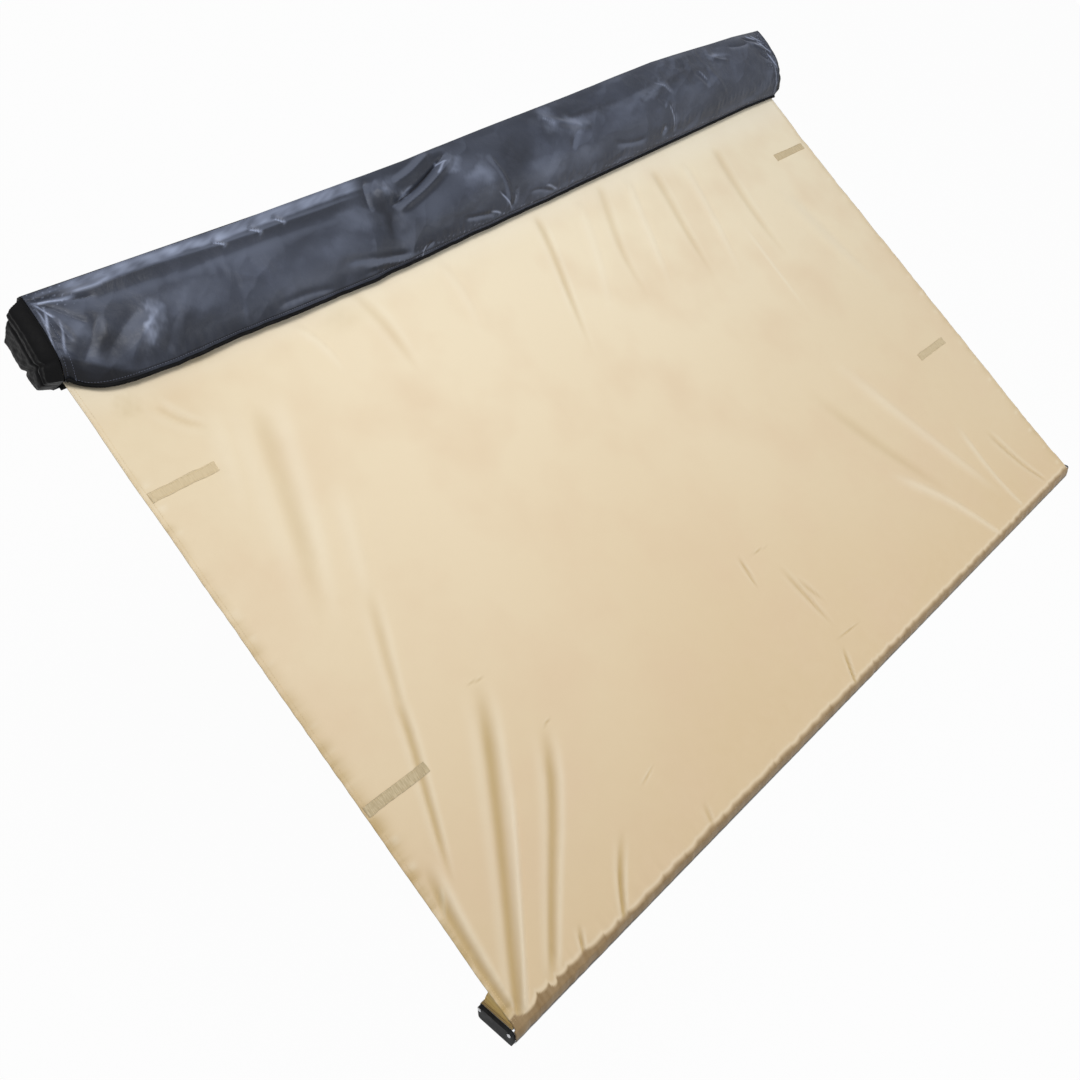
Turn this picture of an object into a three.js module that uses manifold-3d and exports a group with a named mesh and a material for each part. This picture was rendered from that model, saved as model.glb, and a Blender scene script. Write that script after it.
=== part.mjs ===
// Side awning for a vehicle roof rack, rolled out: canopy, storage bag, rails, folding arms and legs.
// Millimetres. X runs along the vehicle, +Y towards it, +Z up.
// The origin is the middle of the rear rail's back face, where the awning is bolted on.
import * as THREE from "three";
import { mergeVertices } from "three/addons/utils/BufferGeometryUtils.js";
import Module from "manifold-3d";

const wasm = await Module();
wasm.setup();

// Clearances
const seatGap = 0.3;
const runGap = 0.3;
const holeGap = 0.3;
const overrun = 5;

// Canopy cloth
const canopyWidth = 2500;
const canopyReach = 1533;
const canopyThickness = 1.6;
const canopyHeight = 16;
const foldHeight = 7;
const foldWidth = 42;
const foldFade = 130;
const edgeSag = 5;

// Rear rail
const rearRailInset = 15;
const rearRailHeight = 90;
const rearRailDepth = 24;
const rearRailWall = 2.5;
const slotSpacing = 44;
const slotMouth = 8.5;
const slotWidth = 17;
const slotDepth = 9;
const rearCapThickness = 3;
const rearCapPlugLength = 12;

// Keder strip that holds the rear bead of the canopy
const stripDepth = 18;
const stripHeight = 16;
const beadDiameter = 7;
const beadBoreDiameter = 8.4;
const kederMouth = 3.2;

// Storage bag
const bagDepth = 171;
const bagLowRise = 80;
const bagHighRise = 127;
const bagForwardLean = 16;
const bagBackwardLean = 19;
const bagBulge = 67;
const bagLeastBulge = 10;
const bagBulgeGrowth = 50;
const bagDrop = 66;
const bagThickness = 2.4;
const bagBottomSag = 11;
const lipTurnUp = 7;
const lipSetback = 24;
const flapWave = 3;
const flapDent = 8;
const flapDentWidth = 60;
const gussetBulge = 30;
const tapeWidth = 16;
const tapeThickness = 2;
const tapeOverlap = 8;
const tapeInset = 10;

// Zip slider
const sliderLength = 26;
const sliderWidth = 9;
const sliderPlate = 1.5;
const sliderEndSetback = 12;
const pullLength = 24;
const pullWidth = 8;

// Front rail
const frontRailOverhang = 5;
const frontRailWidth = 90;
const frontRailDepth = 38;
const frontRailWall = 2.5;
const frontRailCorner = 6;
const frontRailTilt = THREE.MathUtils.degToRad(38);
const innerFlange = 18;
const kederBoss = 12;
const portInset = 6;
const portRadius = 4;
const portBoreRadius = 2.3;
const capThickness = 8;
const sleeveThickness = 1.2;
const sleeveHem = 14;
const sleeveNotchMargin = 4;
const pocketReach = 118;

// Arms
const armInset = 90;
const armStandoff = 29;
const armHeight = -16;
const armTubeRadius = 15;
const armTubeWall = 1.5;
const armTubeLength = 872;
const armInnerRadius = 12.5;
const armOverlap = 130;
const armKnuckleRadius = 13;
const armKnuckleHeight = 26;
const armKnuckleReach = 26;
const armPinRadius = 4;
const armPlateWidth = 64;
const armPlateHeight = 44;
const armPlateThickness = 4;
const armEarThickness = 4;
const armTipWidth = 30;
const armTipHeight = 28;
const armTipLength = 60;
const armTipSetback = 8;
const armCollarRadius = 19;
const armCollarLength = 50;

// Saddles that carry the arm tips on the front rail
const saddleShelfLength = 26;
const saddleShelf = 5.7;
const saddleWall = 4;
const saddleWallDrop = 8;

// Legs
const legTubeRadius = 13;
const legTubeWall = 1.5;
const legTubeLength = 1000;
const legInnerRadius = 10.5;
const legInnerInset = 30;
const legPivotInset = 40;
const legKnuckleRadius = 12;
const legKnuckleWidth = 14;
const legKnuckleReach = 24;
const legPinRadius = 3;
const legEarThickness = 4;
const legEarRadius = 11;
const legLaneInset = 29;
const legLaneSpacing = 37;
const legLaneDepth = 19.5;
const legCollarRadius = 16;
const legCollarLength = 45;
const legFootRadius = 15;
const legFootLength = 52;
const legFootSocket = 30;
const legFootStickOut = 30;

// Shared fastener and collar sizes
const innerTubeWall = 1.5;
const collarSocket = 15;
const collarChamfer = 4;
const collarFlute = 1.2;
const plugLength = 20;
const shoulderLength = 4;
const pinHeadRadius = 6.5;
const pinHeadHeight = 2;
const boltRadius = 3;
const boltHeadRadius = 5;
const boltHeadHeight = 4;
const boltSetIn = 9;
const capScrewHeadRadius = 4.5;
const capScrewHeadHeight = 2.4;
const capScrewLength = 22;

// Hook-and-loop arm straps sewn under the canopy
const strapLength = 155;
const strapWidth = 23;
const strapThickness = 2;

// Counts
const roundSteps = 24;
const smallRoundSteps = 16;
const collarFlutes = 10;
const canopyColumns = 32;
const canopyRows = 18;
const bendRows = 3;
const flapColumns = 30;
const flapRows = 13;
const panelRows = 4;
const bottomColumns = 4;
const bottomRows = 10;
const gussetCells = 12;
const pocketCells = 4;

// Lengths and places worked out from the sizes above
const rearRailLength = canopyWidth - 2 * rearRailInset;
const frontRailLength = canopyWidth + 2 * frontRailOverhang;
const tapeLength = canopyWidth - 2 * tapeInset;
const railFront = -rearRailDepth;
const panelFront = railFront - seatGap - bagThickness;
const bagBack = railFront - seatGap;
const zipEdge = bagBack - bagDepth;
const foldLine = zipEdge - canopyReach;
const bagBottom = canopyHeight - bagDrop;
const cornerY = foldLine + canopyThickness + seatGap + frontRailCorner;
const cornerZ = canopyHeight - canopyThickness / 2 - seatGap - frontRailCorner;
const railCos = Math.cos(frontRailTilt);
const railSin = Math.sin(frontRailTilt);
const frontY = cornerY - frontRailCorner * railCos + frontRailCorner * railSin;
const frontZ = cornerZ + frontRailCorner * railSin + frontRailCorner * railCos;
const armPivotX = canopyWidth / 2 - armInset;
const armPivotY = panelFront - armStandoff;

const aluminium = { color: 0xb9bcc0, roughness: 0.42, metalness: 0.85 };
const blackCoat = { color: 0x1c1d20, roughness: 0.5, metalness: 0.2 };
const steel = { color: 0x9b9ea3, roughness: 0.35, metalness: 0.9 };
const blackPlastic = { color: 0x17181a, roughness: 0.5, metalness: 0 };
const rubber = { color: 0x1b1b1c, roughness: 0.85, metalness: 0 };
const bagVinyl = { color: 0x3f434f, roughness: 0.45, metalness: 0 };
const blackVinyl = { color: 0x202123, roughness: 0.6, metalness: 0 };
const canopyCloth = { color: 0xdcc8a5, roughness: 0.8, metalness: 0 };
const sleeveCloth = { color: 0xb59f70, roughness: 0.85, metalness: 0 };
const strapWeb = { color: 0xb9ab93, roughness: 0.9, metalness: 0 };
const zipBlack = { color: 0x141416, roughness: 0.6, metalness: 0 };

const awning = new THREE.Group();

// Geometry helpers

function cleaned(geometry) {
  const bare = new THREE.BufferGeometry();
  bare.setAttribute("position", geometry.getAttribute("position").clone());
  if (geometry.index) bare.setIndex(geometry.index.clone());
  const merged = mergeVertices(bare);
  const corners = merged.index.array;
  const kept = [];
  for (let i = 0; i < corners.length; i += 3) {
    const [a, b, c] = [corners[i], corners[i + 1], corners[i + 2]];
    if (a !== b && b !== c && c !== a) kept.push(a, b, c);
  }
  merged.setIndex(kept);
  return merged;
}

function signedVolume(geometry) {
  const place = geometry.getAttribute("position");
  const corners = geometry.index.array;
  const [a, b, c] = [new THREE.Vector3(), new THREE.Vector3(), new THREE.Vector3()];
  let total = 0;
  for (let i = 0; i < corners.length; i += 3) {
    a.fromBufferAttribute(place, corners[i]);
    b.fromBufferAttribute(place, corners[i + 1]);
    c.fromBufferAttribute(place, corners[i + 2]);
    total += a.dot(b.cross(c));
  }
  return total;
}

function facingOut(geometry) {
  const closed = cleaned(geometry);
  if (signedVolume(closed) < 0) {
    const corners = Array.from(closed.index.array);
    for (let i = 0; i < corners.length; i += 3) {
      [corners[i + 1], corners[i + 2]] = [corners[i + 2], corners[i + 1]];
    }
    closed.setIndex(corners);
  }
  return closed;
}

function toSolid(geometry) {
  const closed = facingOut(geometry);
  const vertProperties = new Float32Array(closed.getAttribute("position").array);
  const triVerts = new Uint32Array(closed.index.array);
  return new wasm.Manifold(new wasm.Mesh({ numProp: 3, vertProperties, triVerts }));
}

function toGeometry(solid) {
  const mesh = solid.getMesh();
  const geometry = new THREE.BufferGeometry();
  const places = new Float32Array((mesh.vertProperties.length / mesh.numProp) * 3);
  for (let i = 0; i < places.length / 3; i += 1) {
    for (let k = 0; k < 3; k += 1) places[i * 3 + k] = mesh.vertProperties[i * mesh.numProp + k];
  }
  geometry.setAttribute("position", new THREE.BufferAttribute(places, 3));
  geometry.setIndex(Array.from(mesh.triVerts));
  return geometry;
}

function combined(first, added = [], cut = []) {
  let solid = toSolid(first);
  for (const geometry of added) solid = solid.add(toSolid(geometry));
  for (const geometry of cut) solid = solid.subtract(toSolid(geometry));
  return toGeometry(solid);
}

function common(first, second) {
  return toGeometry(toSolid(first).intersect(toSolid(second)));
}

function box(low, high) {
  const size = high.map((value, k) => value - low[k]);
  const geometry = new THREE.BoxGeometry(...size);
  geometry.translate(...low.map((value, k) => value + size[k] / 2));
  return geometry;
}

function vector(values) {
  return new THREE.Vector3(...values);
}

function rod(from, to, radius, steps = smallRoundSteps) {
  const start = vector(from);
  const run = vector(to).sub(start);
  const length = run.length();
  const geometry = cleaned(new THREE.CylinderGeometry(radius, radius, length, steps));
  geometry.translate(0, length / 2, 0);
  geometry.applyQuaternion(new THREE.Quaternion().setFromUnitVectors(vector([0, 1, 0]), run.normalize()));
  geometry.translate(start.x, start.y, start.z);
  return geometry;
}

// A turned form: the profile lists [radius, distance along the axis] from the starting point.
function turned(profile, from, axis, steps = roundSteps) {
  const geometry = new THREE.LatheGeometry(profile.map(([r, h]) => new THREE.Vector2(r, h)), steps);
  const upright = cleaned(geometry);
  upright.applyQuaternion(new THREE.Quaternion().setFromUnitVectors(vector([0, 1, 0]), vector(axis)));
  upright.translate(...from);
  return upright;
}

function tube(outer, inner, length, from, axis) {
  return turned([[inner, 0], [outer, 0], [outer, length], [inner, length], [inner, 0]], from, axis);
}

function extruded(shape, length, across, up, along, origin, steps = 6) {
  const settings = { depth: length, bevelEnabled: false, curveSegments: steps };
  const geometry = cleaned(new THREE.ExtrudeGeometry(shape, settings));
  const frame = new THREE.Matrix4().makeBasis(vector(across), vector(up), vector(along));
  frame.setPosition(...origin);
  geometry.applyMatrix4(frame);
  return geometry;
}

// Shapes drawn as [y, z] and run along X between two stations.
function alongX(shape, xLow, xHigh, steps = 6) {
  return extruded(shape, xHigh - xLow, [0, 1, 0], [0, 0, 1], [1, 0, 0], [xLow, 0, 0], steps);
}

// Shapes drawn in the front rail's own directions: across its width, then through its depth.
function alongFrontRail(shape, xLow, xHigh, steps = 6) {
  const across = [0, railCos, -railSin];
  const through = [0, -railSin, -railCos];
  return extruded(shape, xHigh - xLow, across, through, [-1, 0, 0], [xHigh, frontY, frontZ], steps);
}

function railPoint(x, across, through) {
  return [
    x,
    frontY + across * railCos - through * railSin,
    frontZ - across * railSin - through * railCos,
  ];
}

function outline(points) {
  return new THREE.Shape(points.map(([a, b]) => new THREE.Vector2(a, b)));
}

function roundedShape(a0, b0, a1, b1, radius) {
  const shape = new THREE.Shape();
  shape.moveTo(a0 + radius, b0);
  shape.lineTo(a1 - radius, b0);
  shape.absarc(a1 - radius, b0 + radius, radius, -Math.PI / 2, 0, false);
  shape.lineTo(a1, b1 - radius);
  shape.absarc(a1 - radius, b1 - radius, radius, 0, Math.PI / 2, false);
  shape.lineTo(a0 + radius, b1);
  shape.absarc(a0 + radius, b1 - radius, radius, Math.PI / 2, Math.PI, false);
  shape.lineTo(a0, b0 + radius);
  shape.absarc(a0 + radius, b0 + radius, radius, Math.PI, 1.5 * Math.PI, false);
  return shape;
}

// A closed sheet between two grids of points, front(i, j) and back(i, j).
function sheet(columns, rows, front, back) {
  const places = [];
  const corners = [];
  const count = (columns + 1) * (rows + 1);
  for (const face of [front, back]) {
    for (let i = 0; i <= columns; i += 1) {
      for (let j = 0; j <= rows; j += 1) places.push(...face(i / columns, j / rows));
    }
  }
  const at = (i, j, side) => side * count + i * (rows + 1) + j;
  for (let i = 0; i < columns; i += 1) {
    for (let j = 0; j < rows; j += 1) {
      corners.push(at(i, j, 0), at(i + 1, j, 0), at(i + 1, j + 1, 0));
      corners.push(at(i, j, 0), at(i + 1, j + 1, 0), at(i, j + 1, 0));
      corners.push(at(i, j, 1), at(i + 1, j + 1, 1), at(i + 1, j, 1));
      corners.push(at(i, j, 1), at(i, j + 1, 1), at(i + 1, j + 1, 1));
    }
  }
  const wall = (a, b) => {
    corners.push(a, a + count, b + count);
    corners.push(a, b + count, b);
  };
  for (let i = 0; i < columns; i += 1) {
    wall(at(i, 0, 0), at(i + 1, 0, 0));
    wall(at(i + 1, rows, 0), at(i, rows, 0));
  }
  for (let j = 0; j < rows; j += 1) {
    wall(at(0, j + 1, 0), at(0, j, 0));
    wall(at(columns, j, 0), at(columns, j + 1, 0));
  }
  const geometry = new THREE.BufferGeometry();
  geometry.setAttribute("position", new THREE.BufferAttribute(new Float32Array(places), 3));
  geometry.setIndex(corners);
  return facingOut(geometry);
}

function put(name, geometry, look, parent = awning) {
  const mesh = new THREE.Mesh(cleaned(geometry), new THREE.MeshStandardMaterial(look));
  mesh.name = name;
  parent.add(mesh);
  return mesh;
}

function groupAt(place, turn = 0) {
  const group = new THREE.Group();
  group.position.set(...place);
  group.rotation.z = turn;
  awning.add(group);
  return group;
}

function smooth(value) {
  const t = THREE.MathUtils.clamp(value, 0, 1);
  return t * t * (3 - 2 * t);
}

// Rear rail

const boltPlaces = [-1, 1].flatMap((side) => [-1, 1].map((end) => [
  side * armPivotX + end * (armPlateWidth / 2 - boltSetIn),
  armHeight,
]));

function rearRailShape() {
  const half = rearRailHeight / 2;
  const points = [[railFront, -half], [0, -half]];
  for (const centre of [-slotSpacing / 2, slotSpacing / 2]) {
    const mouth = slotMouth / 2;
    const cavity = slotWidth / 2;
    const lip = -rearRailWall;
    const floor = lip - slotDepth;
    points.push([0, centre - mouth], [lip, centre - mouth]);
    points.push([lip, centre - cavity], [floor, centre - cavity]);
    points.push([floor, centre + cavity], [lip, centre + cavity]);
    points.push([lip, centre + mouth], [0, centre + mouth]);
  }
  points.push([0, half], [railFront, half]);
  return outline(points);
}

function rearChambers(inset = 0) {
  const top = rearRailHeight / 2 - rearRailWall;
  const slotSide = slotSpacing / 2 + slotWidth / 2 + rearRailWall;
  const middle = slotSpacing / 2 - slotWidth / 2 - rearRailWall;
  const back = -rearRailWall;
  const floor = back - slotDepth;
  const front = railFront + rearRailWall;
  const chambers = [
    [front, -top, floor - rearRailWall, top],
    [floor, -middle, back, middle],
    [floor, slotSide, back, top],
    [floor, -top, back, -slotSide],
  ];
  return chambers.map(([a0, b0, a1, b1]) => [a0 + inset, b0 + inset, a1 - inset, b1 - inset]);
}

function rearRail() {
  const half = rearRailLength / 2;
  const profile = alongX(rearRailShape(), -half, half);
  const chambers = rearChambers().map(([a0, b0, a1, b1]) => box(
    [-half - overrun, a0, b0],
    [half + overrun, a1, b1],
  ));
  const holes = boltPlaces.map(([x, z]) => rod(
    [x, railFront - overrun, z],
    [x, railFront + rearRailWall + seatGap, z],
    boltRadius + holeGap,
  ));
  put("rear_rail", combined(profile, [], [...chambers, ...holes]), blackCoat);
}

function rearCaps() {
  for (const [side, word] of [[-1, "left"], [1, "right"]]) {
    const near = side * (rearRailLength / 2 + seatGap);
    const far = near + side * rearCapThickness;
    const half = rearRailHeight / 2;
    const plate = alongX(
      roundedShape(railFront, -half, 0, half, rearRailWall),
      Math.min(near, far),
      Math.max(near, far),
    );
    const plugEnd = near - side * rearCapPlugLength;
    const plugs = rearChambers(holeGap).slice(0, 2).map(([a0, b0, a1, b1]) => box(
      [Math.min(plugEnd, far), a0, b0],
      [Math.max(plugEnd, far), a1, b1],
    ));
    put(`rear_rail_cap_${word}`, combined(plate, plugs), blackPlastic);
  }
}

// A groove with a round bore behind a narrow mouth, open towards the first direction's low side.
function kederGroove(shape, face, centreA, centreB, upwards) {
  const radius = beadBoreDiameter / 2;
  const half = kederMouth / 2;
  const turn = Math.asin(half / radius);
  const sign = upwards ? 1 : -1;
  shape.lineTo(face, centreB - sign * half);
  shape.lineTo(centreA - radius * Math.cos(turn), centreB - sign * half);
  if (upwards) shape.absarc(centreA, centreB, radius, Math.PI + turn, 3 * Math.PI - turn, false);
  else shape.absarc(centreA, centreB, radius, Math.PI - turn, -Math.PI + turn, true);
  shape.lineTo(face, centreB + sign * half);
}

const stripBack = panelFront - seatGap;
const stripFront = stripBack - stripDepth;
const beadY = stripFront + stripDepth / 2;

function kederStrip() {
  const low = canopyHeight - stripHeight / 2;
  const high = canopyHeight + stripHeight / 2;
  const shape = new THREE.Shape();
  shape.moveTo(stripBack, high);
  shape.lineTo(stripBack, low);
  shape.lineTo(stripFront, low);
  kederGroove(shape, stripFront, beadY, canopyHeight, true);
  shape.lineTo(stripFront, high);
  shape.closePath();
  put("keder_strip", alongX(shape, -rearRailLength / 2, rearRailLength / 2, roundSteps), aluminium);
}

// Canopy cloth: flat between the rails, with diagonal folds at the left front corner and long soft ridges.

// Each fold: its start and end, as shares of the width from the middle and of the reach from the zip,
// and then its height as a share of the fold height.
const foldShares = [
  [-0.507, 0.97, -0.345, 0.653, -1],
  [-0.48, 0.985, -0.32, 0.66, 0.7],
  [-0.463, 1, -0.289, 0.696, -0.9],
  [-0.43, 1, -0.28, 0.75, 0.6],
  [0.072, 0.029, 0.181, 0.566, 0.5],
  [0.14, 0.03, 0.24, 0.5, -0.4],
  [0.21, 0.062, 0.2, 0.417, 0.5],
  [0.36, 0.02, 0.43, 0.4, 0.4],
  [0.03, 0.65, 0.03, 0.95, 0.3],
  [0.24, 0.65, 0.34, 0.93, 0.4],
  [-0.2, 0.68, -0.25, 0.95, 0.4],
];
const foldRiseShare = 0.2;
const foldFallShare = 0.5;

function foldAt(x, y, [x0, y0, x1, y1, height]) {
  const start = [x0 * canopyWidth, zipEdge - y0 * canopyReach];
  const run = [x1 * canopyWidth - start[0], zipEdge - y1 * canopyReach - start[1]];
  const length = Math.hypot(...run);
  const along = ((x - start[0]) * run[0] + (y - start[1]) * run[1]) / length ** 2;
  const aside = ((x - start[0]) * run[1] - (y - start[1]) * run[0]) / length;
  const fade = smooth(along / foldRiseShare) * (1 - smooth((along - foldFallShare) / foldFallShare));
  return height * foldHeight * fade * Math.exp(-((aside / foldWidth) ** 2));
}

function canopySurface(x, y) {
  const side = Math.abs(x) / (canopyWidth / 2);
  const rear = smooth((zipEdge - y) / (canopyReach / 6));
  const front = smooth((y - cornerY) / foldFade);
  let height = -edgeSag * smooth((side - 0.5) * 2);
  for (const fold of foldShares) height += foldAt(x, y, fold);
  return canopyHeight + height * rear * front;
}

const beadMiddle = beadY - beadDiameter / 4;
const flatRows = canopyRows - bendRows - 1;
const grooveDepth = frontRailDepth - kederBoss / 2;
const turnEnd = Math.PI - frontRailTilt;

// The middle of the cloth at one grid row: [y, z, direction of its upper side].
function canopyStation(x, row) {
  if (row <= flatRows) {
    const y = beadMiddle + (cornerY - beadMiddle) * (row / flatRows);
    return [y, canopySurface(x, y), Math.PI / 2];
  }
  if (row <= flatRows + bendRows) {
    const angle = Math.PI / 2 + (turnEnd - Math.PI / 2) * ((row - flatRows) / bendRows);
    const radius = frontRailCorner + seatGap + canopyThickness / 2;
    return [cornerY + radius * Math.cos(angle), cornerZ + radius * Math.sin(angle), angle];
  }
  const [, y, z] = railPoint(0, -seatGap - canopyThickness / 2, grooveDepth);
  return [y, z, turnEnd];
}

function canopyLayer(rows, above, below) {
  const face = (out) => (i, j) => {
    const x = -canopyWidth / 2 + canopyWidth * i;
    const [y, z, angle] = canopyStation(x, Math.round(j * rows));
    return [x, y + out * Math.cos(angle), z + out * Math.sin(angle)];
  };
  return sheet(canopyColumns, rows, face(above), face(below));
}

function canopy() {
  const half = canopyWidth / 2;
  const rearHalf = rearRailLength / 2;
  const bossCentre = kederBoss / 2;
  const outside = -seatGap - canopyThickness / 2;
  const cloth = canopyLayer(canopyRows, canopyThickness / 2, -canopyThickness / 2);
  const rearBead = rod(
    [-rearHalf, beadY, canopyHeight],
    [rearHalf, beadY, canopyHeight],
    beadDiameter / 2,
  );
  const frontBead = rod(
    railPoint(-half, bossCentre, grooveDepth),
    railPoint(half, bossCentre, grooveDepth),
    beadDiameter / 2,
  );
  const neck = alongFrontRail(
    outline([
      [outside, grooveDepth - canopyThickness / 2],
      [bossCentre, grooveDepth - canopyThickness / 2],
      [bossCentre, grooveDepth + canopyThickness / 2],
      [outside, grooveDepth + canopyThickness / 2],
    ]),
    -half,
    half,
  );
  put("canopy", combined(cloth, [rearBead, frontBead, neck]), canopyCloth);
}

// Strap places: the name, then the strap's middle as shares of the canopy's width and of its reach.
const strapPlaceShares = [
  ["arm_strap_rear_left", -0.4645, 0.189],
  ["arm_strap_rear_right", 0.4592, 0.126],
  ["arm_strap_front_left", -0.4668, 0.677],
  ["arm_strap_front_right", 0.4352, 0.634],
];

function armStraps() {
  const near = -canopyThickness / 2 - seatGap;
  const layer = canopyLayer(flatRows, near, near - strapThickness);
  for (const [name, xShare, yShare] of strapPlaceShares) {
    const x = xShare * canopyWidth;
    const y = zipEdge - yShare * canopyReach;
    const footprint = box(
      [x - strapLength / 2, y - strapWidth / 2, canopyHeight - strapLength],
      [x + strapLength / 2, y + strapWidth / 2, canopyHeight + strapLength],
    );
    put(name, common(layer, footprint), strapWeb);
  }
}

// Storage bag

const tapeLow = canopyHeight + canopyThickness / 2 + seatGap + sliderPlate + runGap;
const tapeTop = tapeLow + tapeThickness;
const sliderTop = tapeTop + runGap + sliderPlate;
const flapUnderside = sliderTop + runGap;
const railTop = rearRailHeight / 2 + seatGap;

// How full the bag stands along its length: place as a share of the width, then fullness from 0 to 1.
const fullnessShares = [
  [-0.5, 0],
  [-0.3, 0],
  [-0.156, 0.25],
  [0, 0.55],
  [0.12, 0.71],
  [0.28, 1],
  [0.444, 0.88],
  [0.5, 0.75],
];

// How far the flap bulges forward over the canopy: place along the width, then share of the full bulge.
const bulgeShares = [[-0.5, 1], [-0.2, 1], [0.5, 0.06]];

// The flap's section from the zip to its rear top: shares of the bag's depth, the rise and the bulge.
const flapSectionShares = [
  [0.055, 0, 0],
  [0.05, 0.006, 0.5],
  [0.05, 0.04, 0.92],
  [0.055, 0.13, 1],
  [0.1, 0.33, 0.93],
  [0.17, 0.575, 0.78],
  [0.28, 0.775, 0.58],
  [0.46, 0.914, 0.33],
  [0.7, 0.984, 0.1],
  [0.9, 1, 0],
  [1, 0.984, 0],
];
const tapeHoldShare = 0.85;
const gussetStartShare = 0.36;
const gussetRimShare = 0.12;
const flapWaves = 7;
const flapDentShare = -0.06;

function tableValue(table, at) {
  const next = Math.max(1, table.findIndex(([place]) => place >= at));
  const [[a, low], [b, high]] = [table[next - 1], table[next]];
  return low + (high - low) * THREE.MathUtils.clamp((at - a) / (b - a), 0, 1);
}

function bagFullness(x) {
  return tableValue(fullnessShares, THREE.MathUtils.clamp(x / canopyWidth, -0.5, 0.5));
}

function bagRise(x) {
  return bagLowRise + (bagHighRise - bagLowRise) * bagFullness(x);
}

// How far the bag's back leans towards the vehicle at one height above the rear rail.
function bagLean(x, z) {
  const top = -bagForwardLean + (bagForwardLean + bagBackwardLean) * bagFullness(x);
  return top * Math.max(0, (z - railTop) / (canopyHeight + bagRise(x) - railTop));
}

function bulgeAt(x) {
  const growth = 1 - Math.exp(-(x + canopyWidth / 2) / bagBulgeGrowth);
  return Math.max(bagLeastBulge, bagBulge * growth * tableValue(bulgeShares, x / canopyWidth));
}

function flapCurve(x) {
  const top = canopyHeight + bagRise(x);
  const bulge = bulgeAt(x);
  const points = [new THREE.Vector3(0, zipEdge + tapeHoldShare * tapeWidth, tapeTop + seatGap)];
  for (const [depth, height, forward] of flapSectionShares) {
    const z = flapUnderside + height * (top - flapUnderside);
    points.push(new THREE.Vector3(0, zipEdge + depth * bagDepth - forward * bulge + bagLean(x, z), z));
  }
  return new THREE.CatmullRomCurve3(points);
}

function flapPoint(curve, x, j, inward) {
  const point = curve.getPoint(j);
  const tangent = curve.getTangent(j);
  const along = x / canopyWidth;
  const loose = Math.sin(Math.PI * smooth((j - gussetStartShare) / (1 - gussetStartShare)));
  const wave = flapWave * loose * Math.cos(flapWaves * Math.PI * along) * Math.cos(Math.PI * along);
  const fromDent = (x - flapDentShare * canopyWidth) / flapDentWidth;
  const dent = flapDent * loose * Math.exp(-(fromDent ** 2));
  const lift = wave - dent - inward;
  return [x, point.y - lift * tangent.z, point.z + lift * tangent.y];
}

// The columns stand closer together at the left end, where the bulge grows quickly.
const columnEase = 1.35;

function bagColumn(share) {
  return canopyWidth * (share ** columnEase - 0.5);
}

function bagFlap() {
  const curves = [];
  for (let i = 0; i <= flapColumns; i += 1) curves.push(flapCurve(bagColumn(i / flapColumns)));
  const face = (inward) => (i, j) => {
    const curve = curves[Math.round(i * flapColumns)];
    return flapPoint(curve, bagColumn(i), j, inward);
  };
  put("bag_flap", sheet(flapColumns, flapRows, face(0), face(bagThickness)), bagVinyl);
}

// The back panel stands flat on the rail and leans with the bag above it.
function bagBackPanel() {
  const face = (forward) => (i, j) => {
    const x = bagColumn(i);
    const top = flapCurve(x).getPoint(1).z - bagThickness - 2 * seatGap;
    const upper = 2 * j - 1;
    const z = upper > 0 ? railTop + (top - railTop) * upper : railTop + (railTop - bagBottom) * upper;
    return [x, bagBack + bagLean(x, z) - forward, z];
  };
  const panel = sheet(flapColumns, panelRows, face(0), face(bagThickness));
  const holes = boltPlaces.map(([x, z]) => rod(
    [x, panelFront - overrun, z],
    [x, bagBack + overrun, z],
    boltRadius + holeGap,
  ));
  put("bag_back_panel", combined(panel, [], holes), bagVinyl);
}

const lipEdge = zipEdge + lipSetback;
const sagReachShare = 0.85;
const turnUpShare = 0.25;

function bottomSurface(share) {
  const sag = bagBottomSag * Math.sin(Math.PI * smooth(share * sagReachShare));
  const turnUp = lipTurnUp * smooth(1 - (1 - share) / turnUpShare);
  return bagBottom - seatGap - sag + turnUp;
}

function bagBottomPanel() {
  const half = canopyWidth / 2;
  const face = (drop) => (i, j) => [
    -half + canopyWidth * i,
    bagBack + (lipEdge - bagBack) * j,
    bottomSurface(j) - drop,
  ];
  put("bag_bottom_panel", sheet(bottomColumns, bottomRows, face(0), face(bagThickness)), bagVinyl);
}

// End gusset: a black panel that closes the bag's end and bulges outwards behind a square rim.
function bagGussets() {
  for (const [side, word] of [[-1, "left"], [1, "right"]]) {
    const end = (side * canopyWidth) / 2;
    const curve = flapCurve(end);
    const rise = (share) => smooth(share / gussetRimShare);
    const face = (out) => (i, j) => {
      const rim = curve.getPoint(1 - i * (1 - gussetStartShare));
      const low = bottomSurface(i) - bagThickness;
      const z = low + (rim.z - low) * j;
      const floorY = bagBack + (lipEdge - bagBack) * i;
      const straight = bagBack + (curve.getPoint(1).y - bagBack) * j;
      const backEdge = bagBack + bagLean(end, z) - straight;
      const y = floorY + (rim.y - floorY) * j + backEdge * (1 - i) ** 2;
      const bulge = gussetBulge * Math.min(rise(i), rise(1 - i), rise(j), rise(1 - j));
      return [end + side * (seatGap + out + bulge), y, z];
    };
    const panel = sheet(gussetCells, gussetCells, face(0), face(bagThickness));
    put(`bag_gusset_${word}`, panel, blackVinyl);
  }
}

function zipTapes() {
  const half = tapeLength / 2;
  const upper = box([-half, zipEdge, tapeLow], [half, zipEdge + tapeWidth, tapeTop]);
  put("zip_tape_upper", upper, zipBlack);
  const lipTop = bottomSurface(1);
  const lower = box(
    [-half, lipEdge - tapeWidth + tapeOverlap, lipTop + seatGap],
    [half, lipEdge + tapeOverlap, lipTop + seatGap + tapeThickness],
  );
  put("zip_tape_lower", lower, zipBlack);
}

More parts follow.
